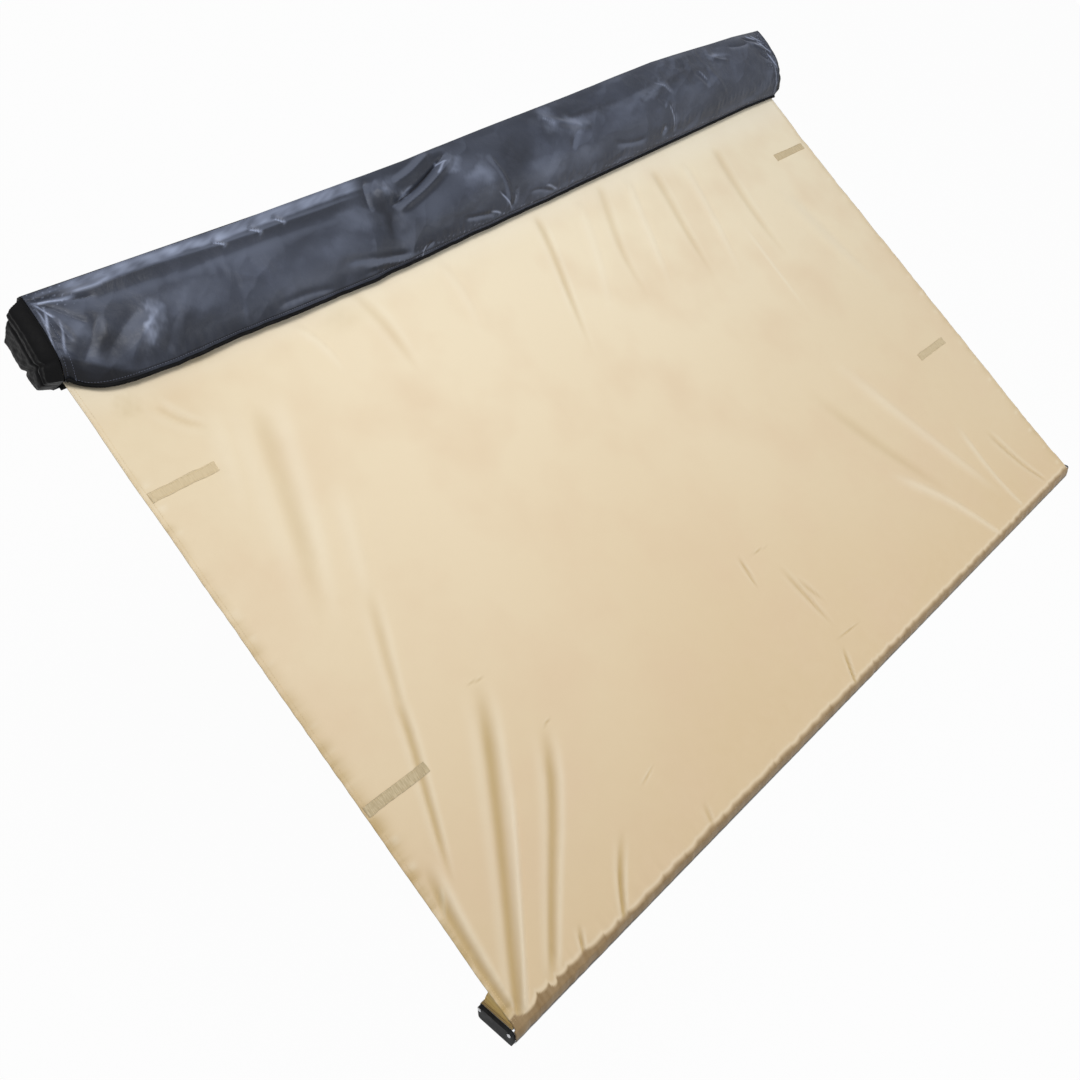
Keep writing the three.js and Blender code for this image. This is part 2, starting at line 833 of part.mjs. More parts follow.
function zipSlider() {
  const x0 = -tapeLength / 2 + sliderEndSetback;
  const front = zipEdge - runGap - sliderPlate;
  const back = front + sliderWidth;
  const low = tapeLow - runGap - sliderPlate;
  const high = sliderTop;
  const body = box([x0, front, low], [x0 + sliderLength, back, high]);
  const channel = box(
    [x0 - overrun, zipEdge - runGap, tapeLow - runGap],
    [x0 + sliderLength + overrun, back + overrun, tapeTop + runGap],
  );
  const pull = box(
    [x0 + sliderLength / 2 - pullWidth / 2, front - pullLength, high - sliderPlate],
    [x0 + sliderLength / 2 + pullWidth / 2, front + sliderWidth / 2, high],
  );
  put("zip_slider", combined(body, [pull], [channel]), steel);
}

// Front rail

function frontRailShape() {
  const wall = frontRailWall;
  const corner = frontRailCorner;
  const width = frontRailWidth;
  const depth = frontRailDepth;
  const shape = new THREE.Shape();
  shape.moveTo(corner, 0);
  shape.lineTo(width - corner, 0);
  shape.absarc(width - corner, corner, corner, -Math.PI / 2, 0, false);
  shape.lineTo(width, innerFlange);
  shape.lineTo(width - wall, innerFlange);
  shape.lineTo(width - wall, wall);
  shape.lineTo(wall, wall);
  shape.lineTo(wall, depth - kederBoss);
  shape.lineTo(kederBoss, depth - kederBoss);
  shape.lineTo(kederBoss, depth);
  shape.lineTo(0, depth);
  kederGroove(shape, 0, kederBoss / 2, depth - kederBoss / 2, false);
  shape.lineTo(0, corner);
  shape.absarc(corner, corner, corner, Math.PI, 1.5 * Math.PI, false);
  return shape;
}

const portPlaces = [[portInset, portInset], [frontRailWidth - portInset, portInset]];

function frontRail() {
  const half = frontRailLength / 2;
  const profile = alongFrontRail(frontRailShape(), -half, half, roundSteps);
  const ports = portPlaces.map(([u, n]) => rod(railPoint(-half, u, n), railPoint(half, u, n), portRadius));
  const bores = portPlaces.map(([u, n]) => rod(
    railPoint(-half - overrun, u, n),
    railPoint(half + overrun, u, n),
    portBoreRadius,
  ));
  put("front_rail", combined(profile, ports, bores), aluminium);
}

function frontCaps() {
  const shape = roundedShape(0, 0, frontRailWidth, frontRailDepth, frontRailCorner);
  for (const [side, word] of [[-1, "left"], [1, "right"]]) {
    const near = side * (frontRailLength / 2 + seatGap);
    const far = near + side * capThickness;
    const plate = alongFrontRail(shape, Math.min(near, far), Math.max(near, far));
    const holes = portPlaces.map(([u, n]) => rod(
      railPoint(near - side * overrun, u, n),
      railPoint(far + side * overrun, u, n),
      portBoreRadius,
    ));
    put(`front_rail_cap_${word}`, combined(plate, [], holes), blackPlastic);
    portPlaces.forEach(([u, n], k) => {
      const shank = portBoreRadius - holeGap;
      const head = capScrewHeadRadius;
      const tall = capScrewHeadHeight;
      const profileOfScrew = [
        [0, 0],
        [shank, 0],
        [shank, capScrewLength],
        [head, capScrewLength],
        [head, capScrewLength + tall / 2],
        [head / 2, capScrewLength + tall],
        [0, capScrewLength + tall],
      ];
      const start = railPoint(far + side * (seatGap - capScrewLength), u, n);
      const screw = turned(profileOfScrew, start, [side, 0, 0], smallRoundSteps);
      put(`cap_screw_${k ? "inner" : "outer"}_${word}`, screw, steel);
    });
  }
}

function frontSleeve() {
  const near = seatGap;
  const far = seatGap + sleeveThickness;
  const corner = frontRailCorner;
  const width = frontRailWidth;
  const shape = new THREE.Shape();
  shape.moveTo(corner, -near);
  shape.lineTo(width - corner, -near);
  shape.absarc(width - corner, corner, corner + near, -Math.PI / 2, 0, false);
  shape.lineTo(width + near, sleeveHem);
  shape.lineTo(width + far, sleeveHem);
  shape.lineTo(width + far, corner);
  shape.absarc(width - corner, corner, corner + far, 0, -Math.PI / 2, true);
  shape.lineTo(corner, -far);
  shape.closePath();
  const half = canopyWidth / 2;
  const notchHalf = armTipWidth / 2 + runGap + saddleWall + sleeveNotchMargin;
  const notches = [-1, 1].map((side) => alongFrontRail(
    outline([
      [corner + overrun, -2 * overrun],
      [width + 2 * overrun, -2 * overrun],
      [width + 2 * overrun, frontRailDepth],
      [corner + overrun, frontRailDepth],
    ]),
    side * armPivotX - notchHalf,
    side * armPivotX + notchHalf,
  ));
  const pocketEdge = armPivotX + notchHalf + sleeveNotchMargin;
  const pockets = [-1, 1].map((side) => cornerPocket(side * pocketEdge, side * half));
  put("front_sleeve", combined(alongFrontRail(shape, -half, half), pockets, notches), sleeveCloth);
}

// A corner pocket: cloth from the sleeve's rear edge up to the canopy's underside.
function cornerPocket(from, to) {
  const [, footY, footZ] = railPoint(0, frontRailWidth - frontRailCorner, -seatGap - sleeveThickness / 2);
  const topY = foldLine + pocketReach;
  const [low, high] = [Math.min(from, to), Math.max(from, to)];
  const face = (out) => (i, j) => {
    const x = low + (high - low) * i;
    const topZ = canopySurface(x, topY) - canopyThickness / 2 - seatGap - sleeveThickness;
    const length = Math.hypot(topY - footY, topZ - footZ);
    const [y, z] = [footY + (topY - footY) * j, footZ + (topZ - footZ) * j];
    return [x, y - (out * (topZ - footZ)) / length, z + (out * (topY - footY)) / length];
  };
  return sheet(pocketCells, pocketCells, face(sleeveThickness / 2), face(-sleeveThickness / 2));
}

// Arms: each group stands at its rear pivot, and the arm runs along -Y from there.

const tipLow = armHeight - armTipHeight / 2;
const shelfTop = tipLow - runGap;
const shelfMeetsRail = frontY + ((frontZ - shelfTop) / railSin) * railCos;
const saddleFace = shelfMeetsRail + armTipSetback;
const tipFace = saddleFace + runGap - armPivotY;

function armBracket(side, word) {
  const base = stripBack;
  const pivot = base - armPivotY;
  const half = armPlateWidth / 2;
  const plateFront = pivot - armPlateThickness;
  const plate = box([-half, plateFront, -armPlateHeight / 2], [half, pivot, armPlateHeight / 2]);
  const ear = new THREE.Shape();
  ear.moveTo(-armKnuckleRadius, 0);
  ear.absarc(0, 0, armKnuckleRadius, Math.PI, 2 * Math.PI, false);
  ear.lineTo(armKnuckleRadius, plateFront + armPlateThickness / 2);
  ear.lineTo(-armKnuckleRadius, plateFront + armPlateThickness / 2);
  ear.closePath();
  const earLow = armKnuckleHeight / 2 + runGap;
  const ears = [-1, 1].map((end) => extruded(
    ear,
    armEarThickness,
    [1, 0, 0],
    [0, 1, 0],
    [0, 0, 1],
    [0, 0, end > 0 ? earLow : -earLow - armEarThickness],
    roundSteps / 2,
  ));
  const holes = [-1, 1].map((end) => rod(
    [end * (half - boltSetIn), plateFront - overrun, 0],
    [end * (half - boltSetIn), pivot + overrun, 0],
    boltRadius + holeGap,
  ));
  const pinHole = rod([0, 0, -armPlateHeight], [0, 0, armPlateHeight], armPinRadius + holeGap);
  const group = groupAt([side * armPivotX, armPivotY, armHeight]);
  put(`arm_bracket_${word}`, combined(plate, ears, [...holes, pinHole]), aluminium, group);
  const top = earLow + armEarThickness + seatGap;
  const pinProfile = [
    [0, -top - pinHeadHeight],
    [pinHeadRadius, -top - pinHeadHeight],
    [pinHeadRadius, -top],
    [armPinRadius, -top],
    [armPinRadius, top],
    [pinHeadRadius, top],
    [pinHeadRadius, top + pinHeadHeight],
    [0, top + pinHeadHeight],
  ];
  put(`arm_pin_${word}`, turned(pinProfile, [0, 0, 0], [0, 0, 1], smallRoundSteps), steel, group);
  for (const [end, place] of [[side, "outer"], [-side, "inner"]]) {
    put(`arm_bolt_${place}_${word}`, bracketBolt(end * (half - boltSetIn), plateFront), steel, group);
  }
  return group;
}

function bracketBolt(x, plateFront) {
  const headBack = plateFront - seatGap;
  const head = new THREE.CylinderGeometry(boltHeadRadius, boltHeadRadius, boltHeadHeight, 6);
  head.translate(0, headBack - boltHeadHeight / 2, 0);
  const reach = armStandoff + bagThickness + seatGap + rearRailWall;
  const shank = rod([0, headBack - boltHeadHeight / 2, 0], [0, reach, 0], boltRadius);
  const bolt = combined(head, [shank]);
  bolt.translate(x, 0, 0);
  return bolt;
}

const knuckleNeckShare = 0.85;

// A knuckle seen along its tube: a barrel round the pin, a neck, a shoulder and a plug inside the tube.
function knuckle(radius, height, reach, pinRadius, tubeRadius, boreRadius, axis) {
  const flat = height / 2;
  const neckHalf = radius * knuckleNeckShare;
  const barrel = rod([0, 0, -flat], [0, 0, flat], radius, roundSteps);
  const neck = box([-neckHalf, -reach + shoulderLength / 2, -flat], [neckHalf, 0, flat]);
  const shoulder = rod([0, -reach + shoulderLength, 0], [0, -reach, 0], tubeRadius, roundSteps);
  const plugTop = -reach + shoulderLength / 2;
  const plug = rod([0, plugTop, 0], [0, -reach - plugLength, 0], boreRadius - holeGap, roundSteps);
  const bore = rod([0, 0, -height], [0, 0, height], pinRadius + holeGap);
  const body = combined(barrel, [neck, shoulder, plug], [bore]);
  if (axis === "y") body.rotateY(Math.PI / 2);
  return body;
}

// A grip collar: fluted outside, chamfered ends, a socket over the larger tube and a bore on the smaller.
function lockCollar(radius, length, tubeRadius, innerRadius, start, axis) {
  const flutes = collarFlutes * 6;
  const shape = new THREE.Shape();
  for (let k = 0; k < flutes; k += 1) {
    const angle = (2 * Math.PI * k) / flutes;
    const r = radius - collarFlute * (0.5 - 0.5 * Math.cos(collarFlutes * angle));
    const point = [r * Math.cos(angle), r * Math.sin(angle)];
    if (k) shape.lineTo(...point);
    else shape.moveTo(...point);
  }
  shape.closePath();
  const grip = extruded(shape, length, [1, 0, 0], [0, 1, 0], [0, 0, 1], [0, 0, 0]);
  const envelope = turned([
    [0, 0],
    [radius - collarChamfer / 2, 0],
    [radius, collarChamfer],
    [radius, length - collarChamfer],
    [radius - collarChamfer, length],
    [0, length],
  ], [0, 0, 0], [0, 0, 1]);
  const socket = rod([0, 0, -overrun], [0, 0, collarSocket], tubeRadius + runGap, roundSteps);
  const bore = rod([0, 0, 0], [0, 0, length + overrun], innerRadius + runGap, roundSteps);
  const collar = combined(common(grip, envelope), [], [socket, bore]);
  collar.applyQuaternion(new THREE.Quaternion().setFromUnitVectors(vector([0, 0, 1]), vector(axis)));
  collar.translate(...start);
  return collar;
}

function innerTube(radius, boreRadius, length, start, axis) {
  const inside = radius - innerTubeWall;
  const collar = boreRadius - runGap;
  return turned([
    [inside, 0],
    [collar, 0],
    [collar, plugLength],
    [radius, plugLength],
    [radius, length],
    [inside, length],
    [inside, 0],
  ], start, axis);
}

function armParts(word, group) {
  const bore = armTubeRadius - armTubeWall;
  const along = [0, -1, 0];
  const tubeStart = armKnuckleReach + seatGap;
  const tubeEnd = tubeStart + armTubeLength;
  const collarStart = tubeEnd - collarSocket + seatGap;
  const innerStart = tubeEnd - armOverlap;
  const tipStart = -tipFace - armTipLength;
  const knuckleBody = knuckle(
    armKnuckleRadius, armKnuckleHeight, armKnuckleReach, armPinRadius, armTubeRadius, bore, "z",
  );
  put(`arm_knuckle_${word}`, knuckleBody, blackPlastic, group);
  const outer = tube(armTubeRadius, bore, armTubeLength, [0, -tubeStart, 0], along);
  put(`arm_tube_outer_${word}`, outer, aluminium, group);
  const collar = lockCollar(
    armCollarRadius, armCollarLength, armTubeRadius, armInnerRadius, [0, -collarStart, 0], along,
  );
  put(`arm_collar_${word}`, collar, blackPlastic, group);
  const innerLength = tipStart - seatGap - innerStart;
  put(
    `arm_tube_inner_${word}`,
    innerTube(armInnerRadius, bore, innerLength, [0, -innerStart, 0], along),
    aluminium,
    group,
  );
  put(`arm_tip_${word}`, armTip(tipStart), blackPlastic, group);
}

function armTip(start) {
  const halfWide = armTipWidth / 2;
  const halfTall = armTipHeight / 2;
  const shape = roundedShape(-halfWide, -halfTall, halfWide, halfTall, halfTall / 2);
  const block = extruded(shape, armTipLength, [1, 0, 0], [0, 0, 1], [0, -1, 0], [0, -start, 0]);
  const plugRadius = armInnerRadius - innerTubeWall - holeGap;
  const plug = rod([0, -start - overrun, 0], [0, -start + plugLength, 0], plugRadius, roundSteps);
  return combined(block, [plug]);
}

function armSaddle(side, word) {
  const x = side * armPivotX;
  const innerSide = x - side * (armTipWidth / 2 + runGap);
  const outerSide = x + side * (armTipWidth / 2 + runGap);
  const outerWall = outerSide + side * saddleWall;
  const wallTop = armHeight + armTipHeight / 2;
  const low = shelfTop - saddleShelf;
  const front = saddleFace + saddleShelfLength;
  const rear = shelfMeetsRail - armTipHeight * 2;
  const span = (a, b) => [Math.min(a, b), Math.max(a, b)];
  const [x0, x1] = span(innerSide, outerWall);
  const block = box([x0, rear, low], [x1, front, wallTop]);
  const [p0, p1] = span(innerSide - side * overrun, outerSide);
  const pocket = box([p0, saddleFace, shelfTop], [p1, front + overrun, wallTop + overrun]);
  const [w0, w1] = span(outerSide - side * overrun, outerWall + side * overrun);
  const wallCut = box([w0, saddleFace, wallTop - saddleWallDrop], [w1, front + overrun, wallTop + overrun]);
  const railSide = alongFrontRail(
    outline([
      [-frontRailWidth, -seatGap],
      [2 * frontRailWidth, -seatGap],
      [2 * frontRailWidth, 2 * frontRailWidth],
      [-frontRailWidth, 2 * frontRailWidth],
    ]),
    x0 - overrun,
    x1 + overrun,
  );
  put(`arm_saddle_${word}`, combined(block, [], [pocket, wallCut, railSide]), blackPlastic);
}

// Legs: each group stands at its pivot in the front rail, turned so that its stowed leg runs along -Y.

function legPivot(side) {
  const lane = side < 0 ? legLaneInset : legLaneInset + legLaneSpacing;
  return railPoint(side * (frontRailLength / 2 - legPivotInset), lane, legLaneDepth);
}

function legBracket(side, word) {
  const [x, y, z] = legPivot(side);
  const earNear = legKnuckleWidth / 2 + runGap;
  const earFar = earNear + legEarThickness;
  const tall = 3 * legEarRadius;
  const ear = new THREE.Shape();
  ear.moveTo(-legEarRadius, 0);
  ear.absarc(0, 0, legEarRadius, Math.PI, 2 * Math.PI, false);
  ear.lineTo(legEarRadius, tall);
  ear.lineTo(-legEarRadius, tall);
  ear.closePath();
  const across = [1, 0, 0];
  const ears = [earFar, -earNear].map((offset) => extruded(
    ear, legEarThickness, across, [0, 0, 1], [0, -1, 0], [x, y + offset, z], roundSteps / 2,
  ));
  const bridge = box(
    [x - legEarRadius, y - earFar, z + legKnuckleRadius + runGap],
    [x + legEarRadius, y + earFar, z + tall],
  );
  const aboveWeb = alongFrontRail(
    outline([
      [-frontRailWidth, frontRailWall + seatGap],
      [2 * frontRailWidth, frontRailWall + seatGap],
      [2 * frontRailWidth, -2 * frontRailWidth],
      [-frontRailWidth, -2 * frontRailWidth],
    ]),
    x - tall,
    x + tall,
  );
  const portSide = portInset + portRadius + seatGap;
  const besidePort = alongFrontRail(
    outline([
      [-frontRailWidth, -tall],
      [portSide, -tall],
      [portSide, 2 * tall],
      [-frontRailWidth, 2 * tall],
    ]),
    x - tall,
    x + tall,
  );
  const pinHole = rod([x, y - tall, z], [x, y + tall, z], legPinRadius + holeGap);
  put(`leg_bracket_${word}`, combined(bridge, ears, [aboveWeb, besidePort, pinHole]), aluminium);
  const reach = earFar + seatGap;
  const head = pinHeadRadius - pinHeadHeight;
  const pinProfile = [
    [0, -reach - pinHeadHeight],
    [head, -reach - pinHeadHeight],
    [head, -reach],
    [legPinRadius, -reach],
    [legPinRadius, reach],
    [head, reach],
    [head, reach + pinHeadHeight],
    [0, reach + pinHeadHeight],
  ];
  put(`leg_pin_${word}`, turned(pinProfile, [x, y, z], [0, 1, 0], smallRoundSteps), steel);
}

function legParts(side, word) {
  const group = groupAt(legPivot(side), (-side * Math.PI) / 2);
  const bore = legTubeRadius - legTubeWall;
  const along = [0, -1, 0];
  const tubeStart = legKnuckleReach + seatGap;
  const tubeEnd = tubeStart + legTubeLength;
  const collarStart = tubeEnd - collarSocket + seatGap;
  const collarEnd = collarStart + legCollarLength;
  const innerStart = tubeStart + legInnerInset;
  const footStart = collarEnd + legFootStickOut;
  const innerLength = footStart + legFootSocket - seatGap - innerStart;
  const knuckleBody = knuckle(
    legKnuckleRadius, legKnuckleWidth, legKnuckleReach, legPinRadius, legTubeRadius, bore, "y",
  );
  put(`leg_knuckle_${word}`, knuckleBody, blackPlastic, group);
  const outer = tube(legTubeRadius, bore, legTubeLength, [0, -tubeStart, 0], along);
  put(`leg_tube_outer_${word}`, outer, aluminium, group);
  const collar = lockCollar(
    legCollarRadius, legCollarLength, legTubeRadius, legInnerRadius, [0, -collarStart, 0], along,
  );
  put(`leg_collar_${word}`, collar, blackPlastic, group);
  put(
    `leg_tube_inner_${word}`,
    innerTube(legInnerRadius, bore, innerLength, [0, -innerStart, 0], along),
    aluminium,
    group,
  );
  const neck = legFootRadius - legTubeWall;
  const foot = turned([
    [legInnerRadius + holeGap, legFootSocket],
    [legInnerRadius + holeGap, 0],
    [neck, 0],
    [neck, legFootSocket],
    [legFootRadius, legFootSocket + legTubeWall],
    [legFootRadius, legFootLength],
    [0, legFootLength],
    [0, legFootSocket],
    [legInnerRadius + holeGap, legFootSocket],
  ], [0, -footStart, 0], along);
  put(`leg_foot_${word}`, foot, rubber, group);
}

rearRail();
rearCaps();
kederStrip();
bagBackPanel();
bagFlap();
bagBottomPanel();
bagGussets();
zipTapes();
zipSlider();
canopy();
armStraps();
frontRail();
frontCaps();
frontSleeve();
for (const [side, word] of [[-1, "left"], [1, "right"]]) {
  const group = armBracket(side, word);
  armParts(word, group);
  armSaddle(side, word);
  legBracket(side, word);
  legParts(side, word);
}

export default awning;
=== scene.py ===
"""Side awning, rolled out: cloth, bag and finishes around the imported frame.

Metres, +X along the vehicle, +Y towards it, +Z up.
"""
import math

import bpy
import numpy as np
from mathutils import Matrix, Vector


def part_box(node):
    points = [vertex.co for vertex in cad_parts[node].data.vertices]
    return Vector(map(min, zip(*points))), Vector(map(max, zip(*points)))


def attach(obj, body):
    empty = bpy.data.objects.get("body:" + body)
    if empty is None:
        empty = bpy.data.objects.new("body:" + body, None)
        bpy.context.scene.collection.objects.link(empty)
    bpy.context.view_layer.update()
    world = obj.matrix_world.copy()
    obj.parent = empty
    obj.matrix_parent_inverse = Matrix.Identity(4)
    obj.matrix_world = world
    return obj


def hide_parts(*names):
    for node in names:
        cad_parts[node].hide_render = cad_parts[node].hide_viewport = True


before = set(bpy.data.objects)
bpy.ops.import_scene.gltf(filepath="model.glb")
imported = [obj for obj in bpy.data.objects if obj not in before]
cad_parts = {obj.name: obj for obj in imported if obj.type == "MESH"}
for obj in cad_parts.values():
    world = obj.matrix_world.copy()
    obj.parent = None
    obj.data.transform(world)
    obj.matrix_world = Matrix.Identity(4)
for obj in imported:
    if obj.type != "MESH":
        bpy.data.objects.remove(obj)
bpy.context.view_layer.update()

# Sizes that the solids share
CANOPY_W = 2.5
HALF_W = CANOPY_W / 2
CANOPY_REACH = 1.533
CANOPY_Z = 0.016
CANOPY_T = 0.0012
SOLID_CLOTH_T = 0.0016
BAG_BACK = -0.0243
BAG_DEPTH = 0.171
ZIP_EDGE = BAG_BACK - BAG_DEPTH
FOLD_LINE = ZIP_EDGE - CANOPY_REACH
BEAD_Y = -0.038
BAG_BOTTOM = CANOPY_Z - 0.066
REAR_RAIL_TOP = 0.0453
SEAT_GAP = 0.0003
RAIL_TILT = math.radians(38)
RAIL_COS, RAIL_SIN = math.cos(RAIL_TILT), math.sin(RAIL_TILT)
RAIL_CORNER = 0.006
RAIL_WIDTH = 0.090
# How far down the front rail's face the cloth reaches.
CLOTH_END = 0.0312
# The middle of the front rail's rounded upper corner, and the rail's own origin.
CORNER_Y = FOLD_LINE + SOLID_CLOTH_T + SEAT_GAP + RAIL_CORNER
CORNER_Z = CANOPY_Z - SOLID_CLOTH_T / 2 - SEAT_GAP - RAIL_CORNER
FRONT_Y = CORNER_Y - RAIL_CORNER * RAIL_COS + RAIL_CORNER * RAIL_SIN
FRONT_Z = CORNER_Z + RAIL_CORNER * RAIL_SIN + RAIL_CORNER * RAIL_COS
# The camera of the photograph.
EYE = (-2.0740188, -1.1669093, 2.2101672)


def rail_point(across, inward):
    """Y and Z of a point on the tilted front rail, by its distances across the face and into it."""
    return (FRONT_Y + across * RAIL_COS - inward * RAIL_SIN,
            FRONT_Z - across * RAIL_SIN - inward * RAIL_COS)


def smooth(t):
    t = np.clip(t, 0, 1)
    return t * t * (3 - 2 * t)


def bell(value):
    return np.exp(-value ** 2)


def fbm(x, y, scale, seed, octaves=4):
    """Smooth wandering noise made of sines, about -1 to 1."""
    r = np.random.default_rng(seed)
    out = np.zeros_like(x * y * 1.0)
    amp, total = 1.0, 0.0
    for _ in range(octaves):
        for _ in range(3):
            heading, phase = r.uniform(0, 2 * np.pi, 2)
            pace = r.uniform(0.7, 1.3) * 2 * np.pi / scale
            out = out + amp * np.sin(pace * (np.cos(heading) * x + np.sin(heading) * y) + phase) / 3
        total += amp
        amp *= 0.55
        scale *= 0.5
    return out / total


def strongest(value, others):
    """The largest of several masks at each point."""
    for other in others:
        value = np.maximum(value, other)
    return value


def cell(value, places):
    """Which step of rising places a value lies in, and how far into it, from 0 to 1."""
    at = np.interp(value, places, np.arange(len(places)))
    step = np.clip(np.floor(at).astype(int), 0, len(places) - 2)
    return step, at - step


def between(values, i, j, a, b):
    """The values of a grid between its points."""
    return (values[i, j] * (1 - a) * (1 - b) + values[i + 1, j] * a * (1 - b)
            + values[i, j + 1] * (1 - a) * b + values[i + 1, j + 1] * a * b)


def spaced(stops, counts):
    """Places from the first stop to the last, with so many steps between each two."""
    parts = [np.linspace(a, b, n, endpoint=False) for a, b, n in zip(stops, stops[1:], counts)]
    return np.concatenate(parts + [[stops[-1]]])


# Meshes
def new_mesh(name, verts, faces, smooth_shade=True):
    mesh = bpy.data.meshes.new(name)
    mesh.from_pydata([tuple(map(float, v)) for v in verts], [], [tuple(map(int, f)) for f in faces])
    mesh.validate()
    mesh.update()
    if smooth_shade:
        mesh.polygons.foreach_set("use_smooth", [True] * len(mesh.polygons))
    return add_object(name, mesh)


def add_object(name, data):
    obj = bpy.data.objects.new(name, data)
    bpy.context.scene.collection.objects.link(obj)
    return obj


def grid_of(x, y, z):
    return np.stack(np.broadcast_arrays(x, y, z), -1)


def grid_normals(points):
    """Unit normals of a grid of points."""
    n = np.cross(np.gradient(points, axis=0), np.gradient(points, axis=1))
    return n / np.maximum(np.linalg.norm(n, axis=2, keepdims=True), 1e-12)


def thick_sheet(name, points, thickness, flip=False):
    """A closed sheet: the grid of points is its middle, thickened both ways along the normals."""
    n = grid_normals(points) * (-1 if flip else 1)
    count = points.shape[0] * points.shape[1]
    idx = np.arange(count).reshape(points.shape[:2])
    top = np.stack([idx[:-1, :-1], idx[1:, :-1], idx[1:, 1:], idx[:-1, 1:]], -1).reshape(-1, 4)
    rim = np.concatenate([idx[:, 0], idx[-1, 1:], idx[-2::-1, -1], idx[0, -2:0:-1]])
    following = np.roll(rim, -1)
    side = np.stack([rim, rim + count, following + count, following], -1)
    if flip:
        top, side = top[:, ::-1], side[:, ::-1]
    verts = np.concatenate([points + n * thickness / 2, points - n * thickness / 2]).reshape(-1, 3)
    return new_mesh(name, verts, np.concatenate([top, top[:, ::-1] + count, side]))


def add_mask(obj, name, values):
    """A value per point of the mesh, for its material. A grid's values go to both faces of its sheet."""
    values = np.asarray(values, np.float32).ravel()
    values = np.tile(values, len(obj.data.vertices) // len(values))
    obj.data.attributes.new(name, "FLOAT", "POINT").data.foreach_set("value", values)


def stitch_row(path, normals, pitch=0.0055, length=0.0036, width=0.0008):
    """A row of thread stitches along path, each a small closed lozenge half sunk in the cloth."""
    run = np.concatenate([[0], np.cumsum(np.linalg.norm(np.diff(path, axis=0), axis=1))])
    verts, faces = [], []
    for place in np.arange(pitch, run[-1] - pitch, pitch):
        tips = [np.array([np.interp(at, run, path[:, k]) for k in range(3)])
                for at in (place - length / 2, place + length / 2)]
        n = np.array([np.interp(place, run, normals[:, k]) for k in range(3)])
        n /= np.linalg.norm(n)
        ahead = tips[1] - tips[0]
        ahead /= np.linalg.norm(ahead)
        side = np.cross(n, ahead)
        base = len(verts)
        verts += tips
        for share in (-0.28, 0.28):
            middle = (tips[0] + tips[1]) / 2 + ahead * length * share
            verts += [middle + side * width / 2, middle + n * width * 0.55,
                      middle - side * width / 2, middle - n * width * 0.4]
        for k in range(4):
            a0, a1 = base + 2 + k, base + 2 + (k + 1) % 4
            b0, b1 = a0 + 4, a1 + 4
            faces += [(base, a1, a0), (a0, a1, b1, b0), (b0, b1, base + 1)]
    return new_mesh("row", verts, faces)


def join(name, objs):
    verts, faces = [], []
    for obj in objs:
        base = len(verts)
        verts += [tuple(v.co) for v in obj.data.vertices]
        faces += [tuple(base + i for i in f.vertices) for f in obj.data.polygons]
        bpy.data.objects.remove(obj)
    return new_mesh(name, verts, faces)


def finish_piece(obj, mat, slot, *nodes):
    """Gives a piece its material and body, and hides the CAD nodes that it stands for. The slot is not
    used.
    """
    obj.data.materials.append(mat)
    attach(obj, "awning_frame")
    if nodes:
        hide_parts(*nodes)
    return obj


# Materials
class Nodes:
    """Short hand for building the node tree of a material or world."""

    def __init__(self, owner):
        owner.use_nodes = True
        self.owner = owner
        self.tree = owner.node_tree

    def add(self, kind, inputs=(), **settings):
        """A new node with its settings; inputs pairs its sockets with what feeds them."""
        node = self.tree.nodes.new(kind)
        for key, value in settings.items():
            setattr(node, key, value)
        for key, value in inputs:
            self.feed(node.inputs[key], value)
        return node

    def feed(self, socket, value):
        """Links another node's output to a socket, or sets a number, vector or colour on it."""
        if isinstance(value, bpy.types.NodeSocket):
            self.tree.links.new(value, socket)
        elif socket.type == "RGBA":
            socket.default_value = (*value, 1)
        else:
            socket.default_value = value

    def coords(self):
        return self.add("ShaderNodeTexCoord").outputs["Object"]

    def stretched(self, scale):
        return self.add("ShaderNodeMapping", [("Scale", scale), ("Vector", self.coords())]).outputs[0]

    def noise(self, scale, detail=3, rough=0.5, vector=None, distortion=0.0):
        inputs = [("Scale", scale), ("Detail", detail), ("Roughness", rough), ("Distortion", distortion),
                  ("Vector", vector or self.coords())]
        return self.add("ShaderNodeTexNoise", inputs).outputs["Fac"]

    def waves(self, pitch):
        """Two sets of bands that cross at right angles."""
        inputs = [("Scale", 1 / pitch / 2), ("Vector", self.coords())]
        return [self.add("ShaderNodeTexWave", inputs, bands_direction=way).outputs["Fac"] for way in "XY"]

    def math(self, op, a, b):
        return self.add("ShaderNodeMath", [(0, a), (1, b)], operation=op).outputs[0]

    def times(self, a, b):
        return self.math("MULTIPLY", a, b)

    def remap(self, value, a, b, c=0.0, d=1.0):
        inputs = [("Value", value), ("From Min", a), ("From Max", b), ("To Min", c), ("To Max", d)]
        return self.add("ShaderNodeMapRange", inputs).outputs["Result"]

    def mask(self, name):
        return self.add("ShaderNodeAttribute", attribute_name=name).outputs["Fac"]

    def mix(self, share, a, b):
        return self.add("ShaderNodeMix", [("Factor", share), (6, a), (7, b)], data_type="RGBA").outputs[2]

    def bump(self, height, distance, strength, below=None):
        inputs = [("Height", height), ("Distance", distance), ("Strength", strength)]
        if below is not None:
            inputs.append(("Normal", below))
        return self.add("ShaderNodeBump", inputs).outputs["Normal"]

    def weave(self, pitch, below, depth, strength):
        return self.bump(self.math("ADD", *self.waves(pitch)), depth, strength, below)

    def shade(self, **values):
        """Feeds the sockets of the material's shader and gives the material."""
        shader = self.tree.nodes["Principled BSDF"]
        for key, value in values.items():
            self.feed(shader.inputs[key.replace("_", " ")], value)
        return self.owner


def new_material(name):
    return Nodes(bpy.data.materials.new(name))


def srgb(code):
    parts = [int(code[i:i + 2], 16) / 255 for i in (0, 2, 4)]
    return tuple(c / 12.92 if c <= 0.04045 else ((c + 0.055) / 1.055) ** 2.4 for c in parts)


